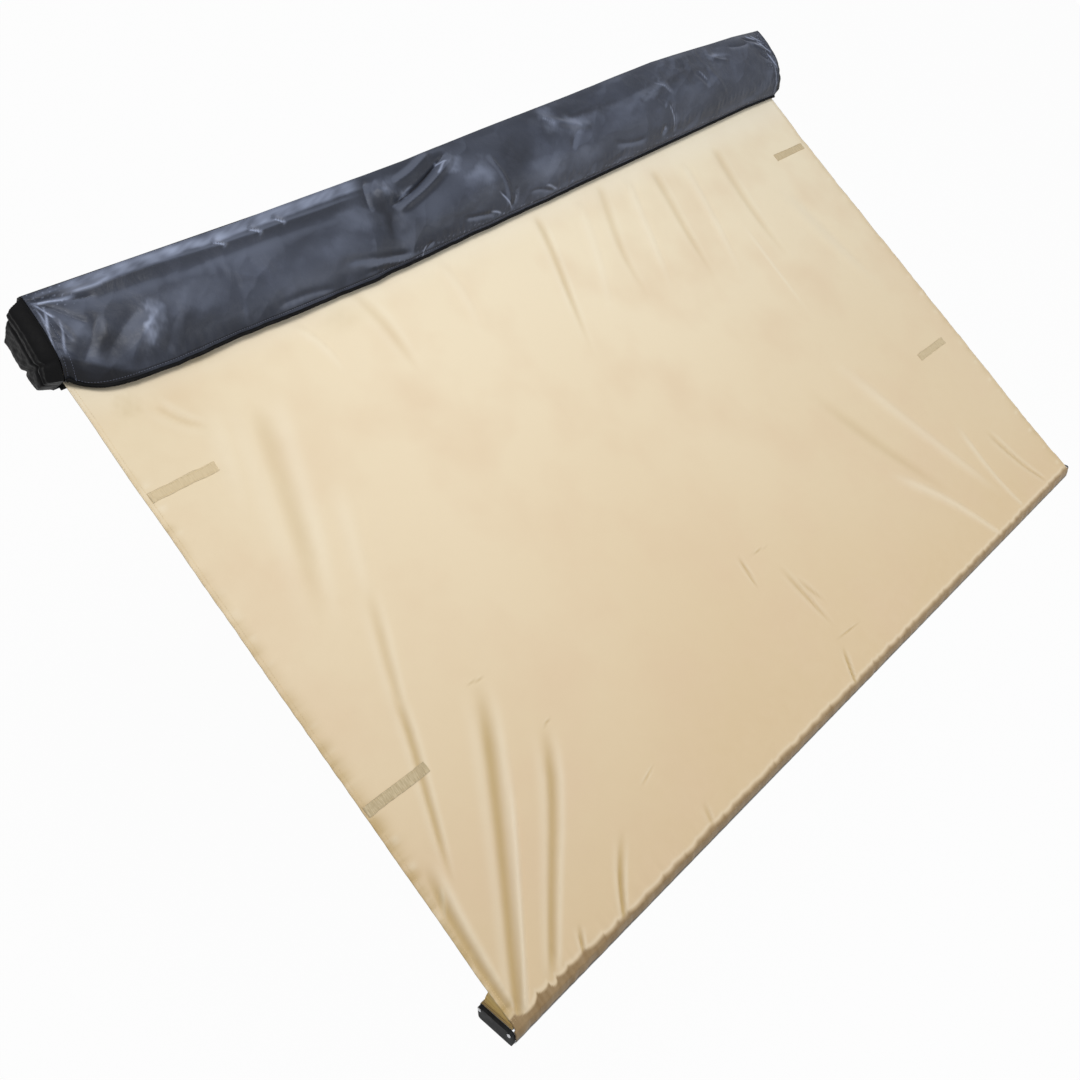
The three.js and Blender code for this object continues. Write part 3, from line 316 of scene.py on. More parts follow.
CANVAS_HIGHLIGHT = (0.90, 0.83, 0.68)
CANVAS_SHADE_UNDER_RAIL = (0.045, 0.032, 0.018)
SHADE_BLACK = (0.004, 0.004, 0.005)
ALUMINIUM = (0.62, 0.63, 0.65)


def colours(*codes):
    return [srgb(code) for code in codes]


def canopy_material(name, light, deep, rosy, olive, front_edge_shade):
    """Canvas that is paler towards the bag and rosier to the left, with masks that paint light and shade on
    its folds and edges.
    """
    m = new_material(name)
    place = m.add("ShaderNodeSeparateXYZ", [(0, m.coords())])
    along = m.remap(place.outputs["Y"], -1.74, -0.2)
    across = m.remap(place.outputs["X"], -HALF_W, HALF_W)
    towards_bag = m.remap(m.math("ADD", along, m.times(m.noise(0.9, 2), 0.5)), 0.25, 1.25)
    colour = m.mix(towards_bag, deep, light)
    colour = m.mix(m.times(m.remap(m.noise(4.5), 0.45, 0.7), 0.35), colour, rosy)
    colour = m.mix(m.times(m.remap(across, 0.0, 1.0, 0.25, 0.0), 0.6), colour, rosy)
    # Painted light and shade: highlights from the pale mask, olive shade from the shade mask (on the sleeve
    # it paints the pockets lighter, as painted light), shade along the front edge and shade under the rail.
    colour = m.mix(m.times(m.mask("pale"), 0.7), colour, CANVAS_HIGHLIGHT)
    colour = m.mix(m.mask("shade"), colour, olive)
    colour = m.mix(m.mask("front_edge_shade"), colour, front_edge_shade)
    colour = m.mix(m.mask("under"), colour, CANVAS_SHADE_UNDER_RAIL)
    colour = m.mix(m.times(m.remap(m.noise(900, 2, 0.6), 0.3, 0.7), 0.08), colour, deep)
    crinkle = m.noise(38, 4, 0.55, distortion=0.6)
    normal = m.weave(0.0011, m.bump(crinkle, 0.0012, 0.25), 0.00006, 0.35)
    return m.shade(Base_Color=colour, Roughness=m.remap(crinkle, 0.3, 0.7, 0.52, 0.66), Normal=normal,
                   Sheen_Weight=0.12, Specular_IOR_Level=0.4)


def vinyl_material(name, base, dark, pale, glint, rough, gloss):
    """Coated cloth: cloudy and scuffed, with masks for the lit and the shaded sides of its creases."""
    m = new_material(name)
    colour = m.mix(m.remap(m.noise(3.2, 4, 0.55, distortion=0.4), 0.3, 0.72), dark, base)
    colour = m.mix(m.times(m.remap(m.noise(11, 5, 0.65), 0.56, 0.78), 0.3), colour, pale)
    # Painted highlights from the pale mask and painted shade from the shade mask.
    colour = m.mix(m.mask("pale"), colour, glint)
    colour = m.mix(m.mask("shade"), colour, SHADE_BLACK)
    normal = m.bump(m.noise(16, 5, 0.6, distortion=1.2), 0.006, 0.30)
    normal = m.bump(m.noise(70, 3, 0.6), 0.0009, 0.25, normal)
    normal = m.weave(0.0016, normal, 0.00005, 0.3)
    roughness = m.remap(m.noise(140, 3, 0.6), 0.3, 0.7, rough - 0.05, rough + 0.09)
    return m.shade(Base_Color=colour, Roughness=roughness, Normal=normal, Specular_IOR_Level=gloss)


def plastic_material(name, base, rough, gloss=0.5):
    m = new_material(name)
    patch = m.noise(60)
    worn = tuple(min(1, c * 1.5 + 0.004) for c in base)
    return m.shade(Base_Color=m.mix(m.remap(patch, 0.35, 0.7), base, worn),
                   Roughness=m.remap(patch, 0.3, 0.7, rough - 0.06, rough + 0.08),
                   Normal=m.bump(m.noise(1400, 2, 0.7), 0.00012, 0.4), Specular_IOR_Level=gloss)


def metal_material(name, base, rough, stretch):
    """Drawn or brushed metal, its lines along the axis that is stretched least."""
    m = new_material(name)
    lines = m.noise(1.0, 3, 0.6, vector=m.stretched(stretch))
    stained = tuple(c * 0.86 for c in base)
    return m.shade(Base_Color=m.mix(m.remap(m.noise(9), 0.35, 0.7), base, stained), Metallic=1.0,
                   Roughness=m.remap(lines, 0.3, 0.7, rough - 0.07, rough + 0.08),
                   Normal=m.bump(lines, 0.00008, 0.35))


def web_material(name, base, dark, pitch=0.0016):
    m = new_material(name)
    checks = m.times(*m.waves(pitch))
    colour = m.mix(m.remap(checks, 0.0, 0.8), dark, base)
    colour = m.mix(m.times(m.noise(60), 0.3), colour, dark)
    return m.shade(Base_Color=colour, Roughness=0.85, Normal=m.bump(checks, 0.0003, 0.5))


def patch_material(name, base, dark, cloth):
    """Ribbed tape, which its mask fades into the colour of the cloth."""
    m = new_material(name)
    ribs = m.noise(1.0, 2, 0.6, vector=m.stretched((420, 60, 60)))
    blotch = m.noise(55, 3, 0.6)
    colour = m.mix(m.remap(ribs, 0.35, 0.65), base, dark)
    colour = m.mix(m.times(m.remap(blotch, 0.45, 0.75), 0.5), colour, dark)
    colour = m.mix(m.mask("faint"), colour, cloth)
    return m.shade(Base_Color=colour, Roughness=0.85,
                   Normal=m.bump(blotch, 0.0012, 0.5, m.bump(ribs, 0.0003, 0.4)))


CANOPY = canopy_material("canopy_canvas", *colours("ecdfc3", "d6be97", "d8bd9c", "a58742", "76592c"))
# On the sleeve the olive colour is a light yellow, which the shade mask paints onto the pockets as painted
# light. The last colour is painted shade.
SLEEVE = canopy_material("sleeve_canvas", *colours("b79f68", "9a8150", "a88c5c", "e6c273", "6e562c"))
VINYL = vinyl_material("bag_vinyl_navy", *colours("404552", "2a2e38", "5a6073", "a9b3cc"), 0.38, 0.18)
GUSSET = vinyl_material("gusset_vinyl_black", *colours("141415", "0b0b0c", "222224", "3a3b40"), 0.5, 0.08)
PIPING = plastic_material("piping_black", srgb("0b0b0c"), 0.6, 0.06)
BLACK = plastic_material("black_moulding", srgb("151617"), 0.5, 0.1)
POWDER_COAT = plastic_material("black_powder_coat", srgb("1b1c1f"), 0.55, 0.12)
RUBBER = plastic_material("black_rubber", srgb("18181a"), 0.75)
ALU_ALONG_X = metal_material("aluminium_extrusion", ALUMINIUM, 0.34, (3, 500, 500))
ALU_ALONG_Y = metal_material("aluminium_tube", ALUMINIUM, 0.32, (500, 3, 500))
STEEL = metal_material("stainless_steel", (0.55, 0.56, 0.58), 0.26, (200, 200, 200))
PATCH = patch_material("patch_webbing", *colours("c8b795", "b2a07e", "dac6a2"))
WEB = web_material("strap_webbing", *colours("bcae96", "988b74"))
TAPE = web_material("zip_tape_black", *colours("232326", "101012"), 0.0012)
TEETH = plastic_material("zip_teeth", srgb("1a1a1c"), 0.35)
THREAD = plastic_material("thread_tan", srgb("c4ae84"), 0.7)
THREAD_DARK = plastic_material("thread_navy", srgb("5b6072"), 0.6)

# Materials of the CAD nodes: the first row with a word that is in the node's name applies.
NODE_FINISHES = [
    (("screw", "slider"), STEEL),
    (("collar", "knuckle", "saddle", "cap_", "tip"), BLACK),
    (("rear_rail",), POWDER_COAT),
    (("foot",), RUBBER),
    (("arm_tube",), ALU_ALONG_Y),
    (("tube", "rail", "strip", "bracket"), ALU_ALONG_X),
    (("",), STEEL),
]
for node_name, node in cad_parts.items():
    finish = next(mat for words, mat in NODE_FINISHES if any(word in node_name for word in words))
    if node.data.materials:
        for index in range(len(node.data.materials)):
            node.data.materials[index] = finish
    else:
        node.data.materials.append(finish)

# Canopy. Folds in the cloth: points along the fold in centimetres, height and width in millimetres, olive
# painted shade in the valley, pale painted highlight beside it, and how quickly the fold fades in and out
# at its two ends.
FOLDS = [
    ([(-89, -115), (-92, -123), (-107, -147), (-124, -172)], -5.5, 15.0, 0.60, 0.40, 0.25, 0.02),
    ([(-90, -125), (-98, -139), (-116, -164), (-122, -171)], 3.0, 8.5, 0.00, 0.55, 0.40, 0.05),
    ([(-82, -131), (-88, -142), (-106, -162), (-114, -171)], -5.0, 12.0, 0.55, 0.40, 0.25, 0.15),
    ([(-81, -158), (-89, -166), (-94, -173)], -4.5, 7.5, 0.70, 0.40, 0.60, 0.02),
    ([(-102, -166), (-106, -173)], -3.5, 5.0, 0.60, 0.40, 0.50, 0.02),
    ([(-105, -105), (-107, -114), (-112, -127), (-119, -145)], -3.0, 9.0, 0.50, 0.30, 0.30, 0.30),
    ([(-121, -137), (-123, -150), (-124, -169)], -5.0, 12.0, 0.60, 0.45, 0.30, 0.05),
    ([(-92, -37), (-103, -73), (-112, -93)], -4.0, 26.0, 0.24, 0.35, 0.20, 0.50),
    ([(-96, -85), (-104, -105), (-109, -118)], -2.5, 11.0, 0.26, 0.25, 0.40, 0.40),
    ([(-87, -61), (-99, -91)], 3.0, 20.0, 0.00, 0.25, 0.40, 0.40),
    ([(-101, -33), (-106, -51), (-110, -62)], 3.0, 26.0, 0.00, 0.25, 0.40, 0.50),
    ([(-120, -142), (-124, -149)], 3.5, 6.0, 0.00, 0.85, 0.50, 0.50),
    ([(-92, -115), (-86, -116)], -1.6, 2.8, 0.45, 0.20, 0.50, 0.50),
    ([(-83, -132), (-79, -131)], -1.6, 2.8, 0.45, 0.20, 0.50, 0.50),
    ([(-76, -25), (-71, -33), (-70, -44)], 2.2, 11.0, 0.00, 0.35, 0.30, 0.50),
    ([(-113, -29), (-109, -37), (-102, -42)], -2.4, 11.0, 0.30, 0.30, 0.30, 0.50),
    ([(-56, -24), (-53, -36), (-54, -52)], -2.2, 14.0, 0.18, 0.25, 0.20, 0.50),
    ([(-30, -24), (-29, -38), (-33, -50)], 2.0, 14.0, 0.00, 0.25, 0.20, 0.50),
    ([(7, -25), (5, -34), (-7, -67)], -3.0, 10.0, 0.32, 0.35, 0.10, 0.50),
    ([(23, -26), (16, -43), (6, -61)], 2.4, 14.0, 0.00, 0.30, 0.10, 0.50),
    ([(34, -24), (24, -46), (22, -61)], -2.6, 12.0, 0.22, 0.20, 0.10, 0.50),
    ([(44, -26), (37, -45), (30, -64)], 3.0, 13.0, 0.00, 0.38, 0.10, 0.50),
    ([(56, -26), (51, -49), (48, -66)], -2.8, 12.0, 0.24, 0.20, 0.10, 0.50),
    ([(68, -28), (64, -48), (57, -71)], 2.8, 13.0, 0.00, 0.34, 0.10, 0.50),
    ([(85, -27), (81, -47), (80, -71)], -2.6, 14.0, 0.22, 0.15, 0.10, 0.50),
    ([(73, -51), (72, -89)], 2.0, 6.0, 0.00, 0.50, 0.40, 0.50),
    ([(97, -47), (102, -71), (108, -93)], 4.0, 26.0, 0.10, 0.40, 0.30, 0.50),
    ([(66, -101), (76, -129), (91, -165)], 3.0, 20.0, 0.00, 0.32, 0.30, 0.30),
    ([(49, -103), (60, -130), (74, -157)], -2.6, 20.0, 0.20, 0.00, 0.40, 0.40),
    ([(94, -139), (93, -156), (95, -171)], 3.2, 10.0, 0.05, 0.50, 0.30, 0.10),
    ([(55, -137), (70, -155), (79, -173)], 3.0, 14.0, 0.00, 0.42, 0.30, 0.10),
    ([(104, -146), (108, -161), (112, -170)], -3.0, 9.0, 0.30, 0.30, 0.30, 0.10),
    ([(-9, -129), (-10, -139)], -3.0, 5.0, 0.50, 0.30, 0.40, 0.40),
    ([(0, -137), (3, -159)], -2.6, 7.0, 0.36, 0.25, 0.40, 0.40),
    ([(1, -163), (-4, -174)], -4.2, 5.0, 0.70, 0.40, 0.40, 0.05),
    ([(0, -161), (12, -162)], -1.6, 2.6, 0.50, 0.20, 0.50, 0.50),
    ([(-6, -131), (2, -132)], -1.6, 2.6, 0.40, 0.20, 0.50, 0.50),
    ([(2, -142), (6, -153)], -2.2, 6.0, 0.30, 0.20, 0.50, 0.50),
    ([(-72, -155), (-65, -153)], -1.6, 3.0, 0.30, 0.30, 0.50, 0.50),
    ([(-61, -166), (-63, -173)], -2.0, 6.0, 0.30, 0.20, 0.50, 0.30),
]


def rounded(points):
    """The same path with its corners cut off twice."""
    for _ in range(2):
        if len(points) > 2:
            first, second = points[:-1], points[1:]
            cuts = np.stack([0.75 * first + 0.25 * second, 0.25 * first + 0.75 * second], 1)
            points = np.concatenate([points[:1], cuts.reshape(-1, 2)[1:-1], points[-1:]])
    return points


def beside_path(x, y, points):
    """Signed distance from a path, and how far along it the nearest point lies, from 0 to 1."""
    path = rounded(points)
    steps = np.diff(path, axis=0)
    lengths = np.hypot(steps[:, 0], steps[:, 1])
    nearest = np.full(np.broadcast(x, y).shape, 9.0)
    aside, along = np.zeros_like(nearest), np.zeros_like(nearest)
    run = 0.0
    for (start_x, start_y), (dx, dy), length in zip(path, steps, lengths):
        t = np.clip(((x - start_x) * dx + (y - start_y) * dy) / length ** 2, 0, 1)
        off_x, off_y = x - start_x - t * dx, y - start_y - t * dy
        distance = np.hypot(off_x, off_y)
        closer = distance < nearest
        nearest = np.where(closer, distance, nearest)
        aside = np.where(closer, np.sign(dx * off_y - dy * off_x) * distance, aside)
        along = np.where(closer, (run + t * length) / lengths.sum(), along)
        run += length
    return aside, along


def fold_layers(x, y):
    """Height, painted olive shade and painted highlight of all the folds."""
    height = np.zeros(np.broadcast(x, y).shape)
    olive, pale = np.zeros_like(height), np.zeros_like(height)
    for points, rise, width, valley_shade, light, fade_in, fade_out in FOLDS:
        aside, along = beside_path(x, y, np.array(points) / 100)
        fade = smooth((along + 0.02) / fade_in) * smooth((1 - along + 0.02) / fade_out)
        wide = width / 1000 * (1.15 - 0.5 * along)
        core = bell(aside / wide)
        flank = bell((aside - 1.7 * wide) / (0.8 * wide)) + 0.6 * bell((aside + 1.9 * wide) / wide)
        height = height + rise / 1000 * fade * (core - 0.35 * flank)
        olive = np.maximum(olive, valley_shade * fade * core)
        pale = np.maximum(pale, light * fade * (flank if rise < 0 else core))
    return height, olive, pale


def edge_wave(t, seed, scale):
    return fbm(t, np.zeros_like(t), scale, seed, 3)


def canopy_height(x, y, folds):
    """The flat part of the cloth: it sags a little at the sides and carries the folds."""
    side = smooth((np.abs(x) / HALF_W - 0.5) * 2)
    rear = smooth((ZIP_EDGE - y) / (CANOPY_REACH / 6))
    front = smooth((y - CORNER_Y) / 0.13)
    at_rail = smooth((y - CORNER_Y) / 0.02)
    at_bag = smooth((ZIP_EDGE - y - 0.012) / 0.06)
    h = -0.005 * side * rear * front + folds * at_rail * at_bag
    h = h + 0.0012 * fbm(x, y, 0.55, 3, 3) * rear * front
    return CANOPY_Z + h + 0.0005 * fbm(x, y, 0.16, 5, 3) * at_bag * at_rail


canopy_xs = spaced([-HALF_W, -1.0, -0.6, 0.3, 1.1, HALF_W], [90, 92, 140, 115, 32])
canopy_ys = spaced([BEAD_Y, -0.195, -0.25, -1.1, -1.5, CORNER_Y], [10, 14, 110, 84, 78])
FLAT_ROWS = len(canopy_ys)
# Rows round the front rail's corner, and rows down its front face.
ROUND_ROWS, FACE_ROWS = 8, 16
TURN_ROWS = ROUND_ROWS + FACE_ROWS


def turned_row(k):
    """Y and Z of the cloth's kth row round the rail, the way out from the rail, and the cloth's slack."""
    radius = RAIL_CORNER + SEAT_GAP + CANOPY_T / 2 + 0.0002
    if k < ROUND_ROWS:
        share = (k + 1) / ROUND_ROWS
        angle = math.pi / 2 + (math.pi / 2 - RAIL_TILT) * share
        out = (math.cos(angle), math.sin(angle))
        return (CORNER_Y + radius * out[0], CORNER_Z + radius * out[1]), out, 0.4 * share
    share = (k + 1 - ROUND_ROWS) / FACE_ROWS
    place = rail_point(RAIL_CORNER - radius, RAIL_CORNER + share * (CLOTH_END - RAIL_CORNER))
    loose = 0.4 + 0.6 * math.sin(math.pi * min(1, share * 1.1)) if share < 0.9 else 0.3
    return place, (-RAIL_COS, RAIL_SIN), loose


def canopy_grid():
    """The middle of the cloth as a grid of points, and the painted olive shade and painted highlights of
    its flat part.
    """
    x, y = canopy_xs[:, None], canopy_ys[None, :]
    folds, olive, pale = fold_layers(x, y)
    z = canopy_height(x, y, folds)
    # gathers along the front rail, fading inwards
    gather = np.abs(edge_wave(x, 11, 0.09)) + 0.6 * edge_wave(x, 12, 0.03)
    z += 0.0022 * bell((y - CORNER_Y) / 0.045) * smooth((y - CORNER_Y) / 0.008) * gather
    # puckers at the side hems, with painted olive shade streaked along them and painted glints
    for side, seed in ((-1, 21), (1, 22)):
        inset = np.abs(x - side * HALF_W)
        ripple = edge_wave(y, seed, 0.05) * 0.0020 + edge_wave(y, seed + 5, 0.2) * 0.0022
        z += ripple * (bell(inset / 0.035) * smooth((ZIP_EDGE - y) / 0.1) * smooth((y - CORNER_Y) / 0.06))
        pucker_shade = np.clip(0.7 * edge_wave(y, seed + 9, 0.06) + 0.60, 0, 1) * bell(inset / 0.024)
        strong = 0.45 + 0.45 * smooth((-0.9 - y) / 0.6) if side < 0 else 0.20
        olive = np.maximum(olive, strong * pucker_shade * smooth((ZIP_EDGE - 0.05 - y) / 0.2))
        glint = np.clip(edge_wave(y, seed + 13, 0.045) - 0.15, 0, 1) * bell((inset - 0.020) / 0.010)
        pale = np.maximum(pale, 0.7 * glint)
    points = np.zeros((len(canopy_xs), FLAT_ROWS + TURN_ROWS, 3))
    points[:, :, 0] = x
    points[:, :FLAT_ROWS, 1] = y
    points[:, :FLAT_ROWS, 2] = z
    bulge = np.abs(edge_wave(canopy_xs, 11, 0.09)) + 0.5 * np.abs(edge_wave(canopy_xs, 13, 0.03))
    for k in range(TURN_ROWS):
        place, out, loose = turned_row(k)
        for axis in (0, 1):
            points[:, FLAT_ROWS + k, axis + 1] = place[axis] + out[axis] * (0.0042 * loose * bulge)
    # the turned cloth is a little wider than the flat one, and covers the sleeve's ends
    at_end = smooth((np.abs(x) - HALF_W + 0.015) / 0.015)
    points[:, FLAT_ROWS:, 0] = x + np.sign(x) * 0.0044 * at_end
    return points, olive, pale


def lobes(x, seed):
    """Scallops of uneven width: 1 in the middle of each lobe and 0 at the cusps."""
    r = np.random.default_rng(seed)
    knots = np.cumsum(r.uniform(0.018, 0.062, 90)) - 1.27
    sizes = r.uniform(0.35, 1.0, len(knots))
    k = np.clip(np.searchsorted(knots, x) - 1, 0, len(knots) - 2)
    t = (x - knots[k]) / (knots[k + 1] - knots[k])
    return sizes[k] * np.clip(1 - (2 * t - 1) ** 2, 0, 1) ** 0.6


cloth, flat_shade, flat_highlight = canopy_grid()
canopy = thick_sheet("canopy_sheet", cloth, CANOPY_T, flip=True)
cloth_x, cloth_y = cloth[:, :, 0], cloth[:, :, 1]
olive, pale = np.zeros(cloth_x.shape), np.zeros(cloth_x.shape)
olive[:, :FLAT_ROWS] = flat_shade
pale[:, :FLAT_ROWS] = flat_highlight
# Painted shade: the olive band along the front edge, where the cloth turns down over the rail, with
# scallops on its inner side. It is widest at the left corner.
corner = bell((cloth_x + 1.20) / 0.17)
band_depth = (0.0045 + 0.017 * corner + 0.005 * np.abs(edge_wave(cloth_x, 17, 0.16))
              - (0.0050 + 0.012 * corner) * lobes(cloth_x, 19))
front_edge_shade = smooth((CORNER_Y + band_depth - cloth_y) / (0.0125 - 0.0085 * corner) + 0.5)
# A painted highlight along the band's inner edge.
band_rim_highlight = 0.35 * bell((cloth_y - CORNER_Y - band_depth - 0.006) / 0.004) * (1 - front_edge_shade)
hem = smooth((0.0125 - (HALF_W - np.abs(cloth_x))) / 0.001)
rear_corner_shade = np.exp(-(((cloth_x + HALF_W) / 0.35) ** 2) - ((cloth_y - ZIP_EDGE) / 0.45) ** 2)
# Painted olive shade near the bag, below the flap's lower edge: middle, half sizes and strength.
SHADE_BLOTCHES = [
    (-0.80, -0.235, 0.05, 0.020, 0.34), (-0.98, -0.250, 0.07, 0.028, 0.30),
    (-1.17, -0.290, 0.05, 0.050, 0.30), (-0.62, -0.300, 0.05, 0.030, 0.14),
]
ragged = 1 + 0.5 * fbm(cloth_x, cloth_y, 0.05, 91, 3)
# Painted olive shade along the hems, in the left rear corner and in the blotches near the bag.
olive = strongest(olive, [0.12 * hem, 0.20 * rear_corner_shade])
olive = strongest(olive, (
    amount * ragged * np.exp(-((cloth_x - x_at) / wide) ** 2 - ((cloth_y - y_at) / deep) ** 2)
    for x_at, y_at, wide, deep, amount in SHADE_BLOTCHES))
# Painted light near the bag, against the shade of its overhang, and the highlight along the band's inner
# edge.
pale = strongest(pale, [0.75 * smooth((cloth_y - ZIP_EDGE + 0.13) / 0.10), band_rim_highlight])
# The last rows of the cloth lie in the dark under the rail's edge.
past_fold = np.maximum(0, np.arange(cloth.shape[1]) - FLAT_ROWS + 1)[None, :] / TURN_ROWS
add_mask(canopy, "shade", olive * (1 - front_edge_shade))
add_mask(canopy, "front_edge_shade", front_edge_shade * (0.72 + 0.26 * (0.5 + 0.5 * edge_wave(cloth_x, 23, 0.025))))
add_mask(canopy, "pale", pale * (1 - front_edge_shade))
add_mask(canopy, "under", smooth((past_fold - 0.76) / 0.12) * np.ones(cloth_x.shape))
finish_piece(canopy, CANOPY, "canopy_cloth", "canopy")


def surface(x, y):
    """The height of the cloth's middle at single points."""
    i, a = cell(x, canopy_xs)
    j, b = cell(-np.asarray(y), -canopy_ys)
    return between(cloth[:, :, 2], i, j, a, b)


def upward(count):
    return np.tile([0, 0, 1.0], (count, 1))


# Two rows of stitches in each side hem
hem_rows = []
seam_y = np.linspace(ZIP_EDGE - 0.015, CORNER_Y + 0.004, 400)
for side in (-1, 1):
    for inset in (0.0035, 0.011):
        seam_x = np.full_like(seam_y, side * (HALF_W - inset))
        seam = np.stack([seam_x, seam_y, surface(seam_x, seam_y) + CANOPY_T / 2], -1)
        hem_rows.append(stitch_row(seam, upward(len(seam))))
hem_stitches = join("canopy_hem_stitches", hem_rows)
finish_piece(hem_stitches, THREAD, "canopy_cloth")

# Arm straps under the cloth, and the patches on top of it that they are sewn to: place along the canopy's
# width from its middle and along its reach from the bag, both as shares, and how much the patch has faded.
STRAPS = [
    ("rear_left", -0.4645, 0.189, 0.55), ("rear_right", 0.4592, 0.126, 0.30),
    ("front_left", -0.4668, 0.677, 0.0), ("front_right", 0.4352, 0.634, 0.40),
]
STRAP_LENGTH, STRAP_WIDTH = 0.155, 0.023
patch_rows, patches = [], []
for index, (word, across, out_from_bag, faint) in enumerate(STRAPS):
    middle_x, middle_y = across * CANOPY_W, ZIP_EDGE - out_from_bag * CANOPY_REACH
    strap_xs = np.linspace(middle_x - STRAP_LENGTH / 2, middle_x + STRAP_LENGTH / 2, 60)
    strap_ys = np.linspace(middle_y - STRAP_WIDTH / 2, middle_y + STRAP_WIDTH / 2, 14)
    x, y = np.meshgrid(strap_xs, strap_ys, indexing="ij")
    x = x + 0.0012 * fbm(x, y, 0.05, 31 + index, 2)
    y = y + 0.0016 * fbm(x, y, 0.06, 41 + index, 2)
    pucker = 0.0009 * np.abs(fbm(x, y, 0.03, 51 + index, 3))
    z = surface(x, y) + CANOPY_T / 2 + 0.00045 + pucker
    patch = thick_sheet("strap_patch_" + word, np.stack([x, y, z], -1), 0.0007)
    add_mask(patch, "faint", [faint])
    finish_piece(patch, PATCH, "webbing")
    patches.append(patch)
    left, right, low, high = strap_xs[3], strap_xs[-4], strap_ys[2], strap_ys[-3]
    corners = np.array([(left, low), (right, low), (right, high), (left, high), (left, low)])
    loop = np.concatenate([np.linspace(a, b, 40)[:-1] for a, b in zip(corners, corners[1:])])
    loop = np.column_stack([loop, surface(loop[:, 0], loop[:, 1]) + CANOPY_T / 2 + 0.0011])
    patch_rows.append(stitch_row(loop, upward(len(loop)), 0.004, 0.0028, 0.0006))
    z = surface(x, y) - CANOPY_T / 2 - 0.0016
    strap = thick_sheet("arm_strap_web_" + word, np.stack([x, y, z], -1), 0.0018)
    finish_piece(strap, WEB, "webbing", "arm_strap_" + word)
patch_stitches = join("patch_stitches", patch_rows)
finish_piece(patch_stitches, THREAD, "webbing")

# Front sleeve round the rail, with a notch for each arm's saddle and a pocket in each corner
SLEEVE_LIFT = 0.0009
SLEEVE_T = 0.001
ARM_TIP_HALF, SADDLE_WALL, NOTCH_MARGIN = 0.0155, 0.004, 0.004
NOTCH_HALF = ARM_TIP_HALF + SEAT_GAP + SADDLE_WALL + NOTCH_MARGIN
ARM_X = HALF_W - 0.09
SLEEVE_END = HALF_W + 0.0046
POCKET_WIDTH = 0.0627
POCKET_TOP = FOLD_LINE + 0.092
FACE_END = RAIL_WIDTH - RAIL_CORNER


def sleeve_profile():
    """Y and Z of the sleeve's section: across the rail's face, round its lower corner and into its hem."""
    across = np.linspace(RAIL_CORNER + 0.001, FACE_END + 0.001, 30)
    section = [rail_point(place, -SLEEVE_LIFT) for place in across]
    radius = RAIL_CORNER + SLEEVE_LIFT
    for angle in np.linspace(-math.pi / 2, 0, 8)[1:]:
        out, down = radius * math.cos(angle), radius * math.sin(angle)
        section.append(rail_point(FACE_END + out, RAIL_CORNER + down))
    for depth in np.linspace(0, 0.008, 5)[1:]:
        section.append(rail_point(RAIL_WIDTH + SLEEVE_LIFT, RAIL_CORNER + depth))
    return np.array(section)


section = sleeve_profile()
spans = [(-SLEEVE_END, -ARM_X - NOTCH_HALF), (-ARM_X + NOTCH_HALF, ARM_X - NOTCH_HALF),
         (ARM_X + NOTCH_HALF, SLEEVE_END)]
sleeve_parts, end_walls = [], []
for a, b in spans:
    xs = np.linspace(a, b, max(12, int((b - a) / 0.008)))[:, None]
    points = grid_of(xs, section[:, 0], section[:, 1])
    out = grid_normals(points)
    if out[0, 3, 2] < 0:
        out = -out
    ripple = 0.0009 * np.abs(fbm(xs, np.linspace(0, 0.1, len(section))[None, :], 0.07, 61, 3))
    sleeve_parts.append(thick_sheet("part", points + out * ripple[:, :, None], SLEEVE_T))
sleeve_count = sum(len(part.data.vertices) for part in sleeve_parts)
foot_y, foot_z = rail_point(FACE_END, -SLEEVE_LIFT)
# The end walls of the pockets start from the rail's rounded corner.
heel_y, heel_z = rail_point(RAIL_CORNER + 0.001, -0.0013)
for side in (-1, 1):
    # the pocket, from the sleeve's lower edge up to the cloth
    xs = np.linspace(side * (HALF_W - POCKET_WIDTH), side * HALF_W, 16)[:, None]
    up = np.linspace(0, 1, 28)[None, :]
    top_z = surface(xs, np.full_like(xs, POCKET_TOP)) - 0.0022
    y = foot_y + (POCKET_TOP - foot_y) * up + 0 * xs
    slack = np.sin(np.pi * up)
    z = foot_z + (top_z - foot_z) * up - 0.004 * slack + 0.0015 * fbm(xs, y, 0.04, 65, 3) * slack
    points = grid_of(xs, y, z)
    sleeve_parts.append(thick_sheet("part", points, SLEEVE_T, flip=side < 0))
    # the pocket's end, gathered into the corner
    out = np.linspace(0.04, 1, 16)[None, :]
    up = up.T
    gathers = np.sin(19 * up + 3 * up ** 2) * out * np.sin(np.pi * up)
    wall = grid_of(side * (HALF_W - 0.0006 + 0.0020 * gathers),
                   heel_y + (y[-1][:, None] - heel_y) * out, heel_z + (z[-1][:, None] - heel_z) * out)
    end_walls.append(thick_sheet("part", wall, SLEEVE_T))
sleeve = join("front_hem_sleeve", sleeve_parts + end_walls)
in_pocket = np.arange(len(sleeve.data.vertices)) >= sleeve_count
# The shade mask here paints the pockets and their ends in a lighter yellow cloth colour, as painted light
# where they lie in shade. The second mask paints the rest of the sleeve darker, as painted shade.
add_mask(sleeve, "shade", np.where(in_pocket, 0.9, 0.0))
add_mask(sleeve, "front_edge_shade", np.where(in_pocket, 0.0, 0.2))
finish_piece(sleeve, SLEEVE, "sleeve_cloth", "front_sleeve")

# Bag. Shares along its length go from -0.5 at the left end to 0.5 at the right.
ZIP_HOLD = (ZIP_EDGE + 0.0136, 0.0212)
FLAP_LOW = 0.0230
FLAP_LENGTH = 0.30
FLAP_T = 0.0018
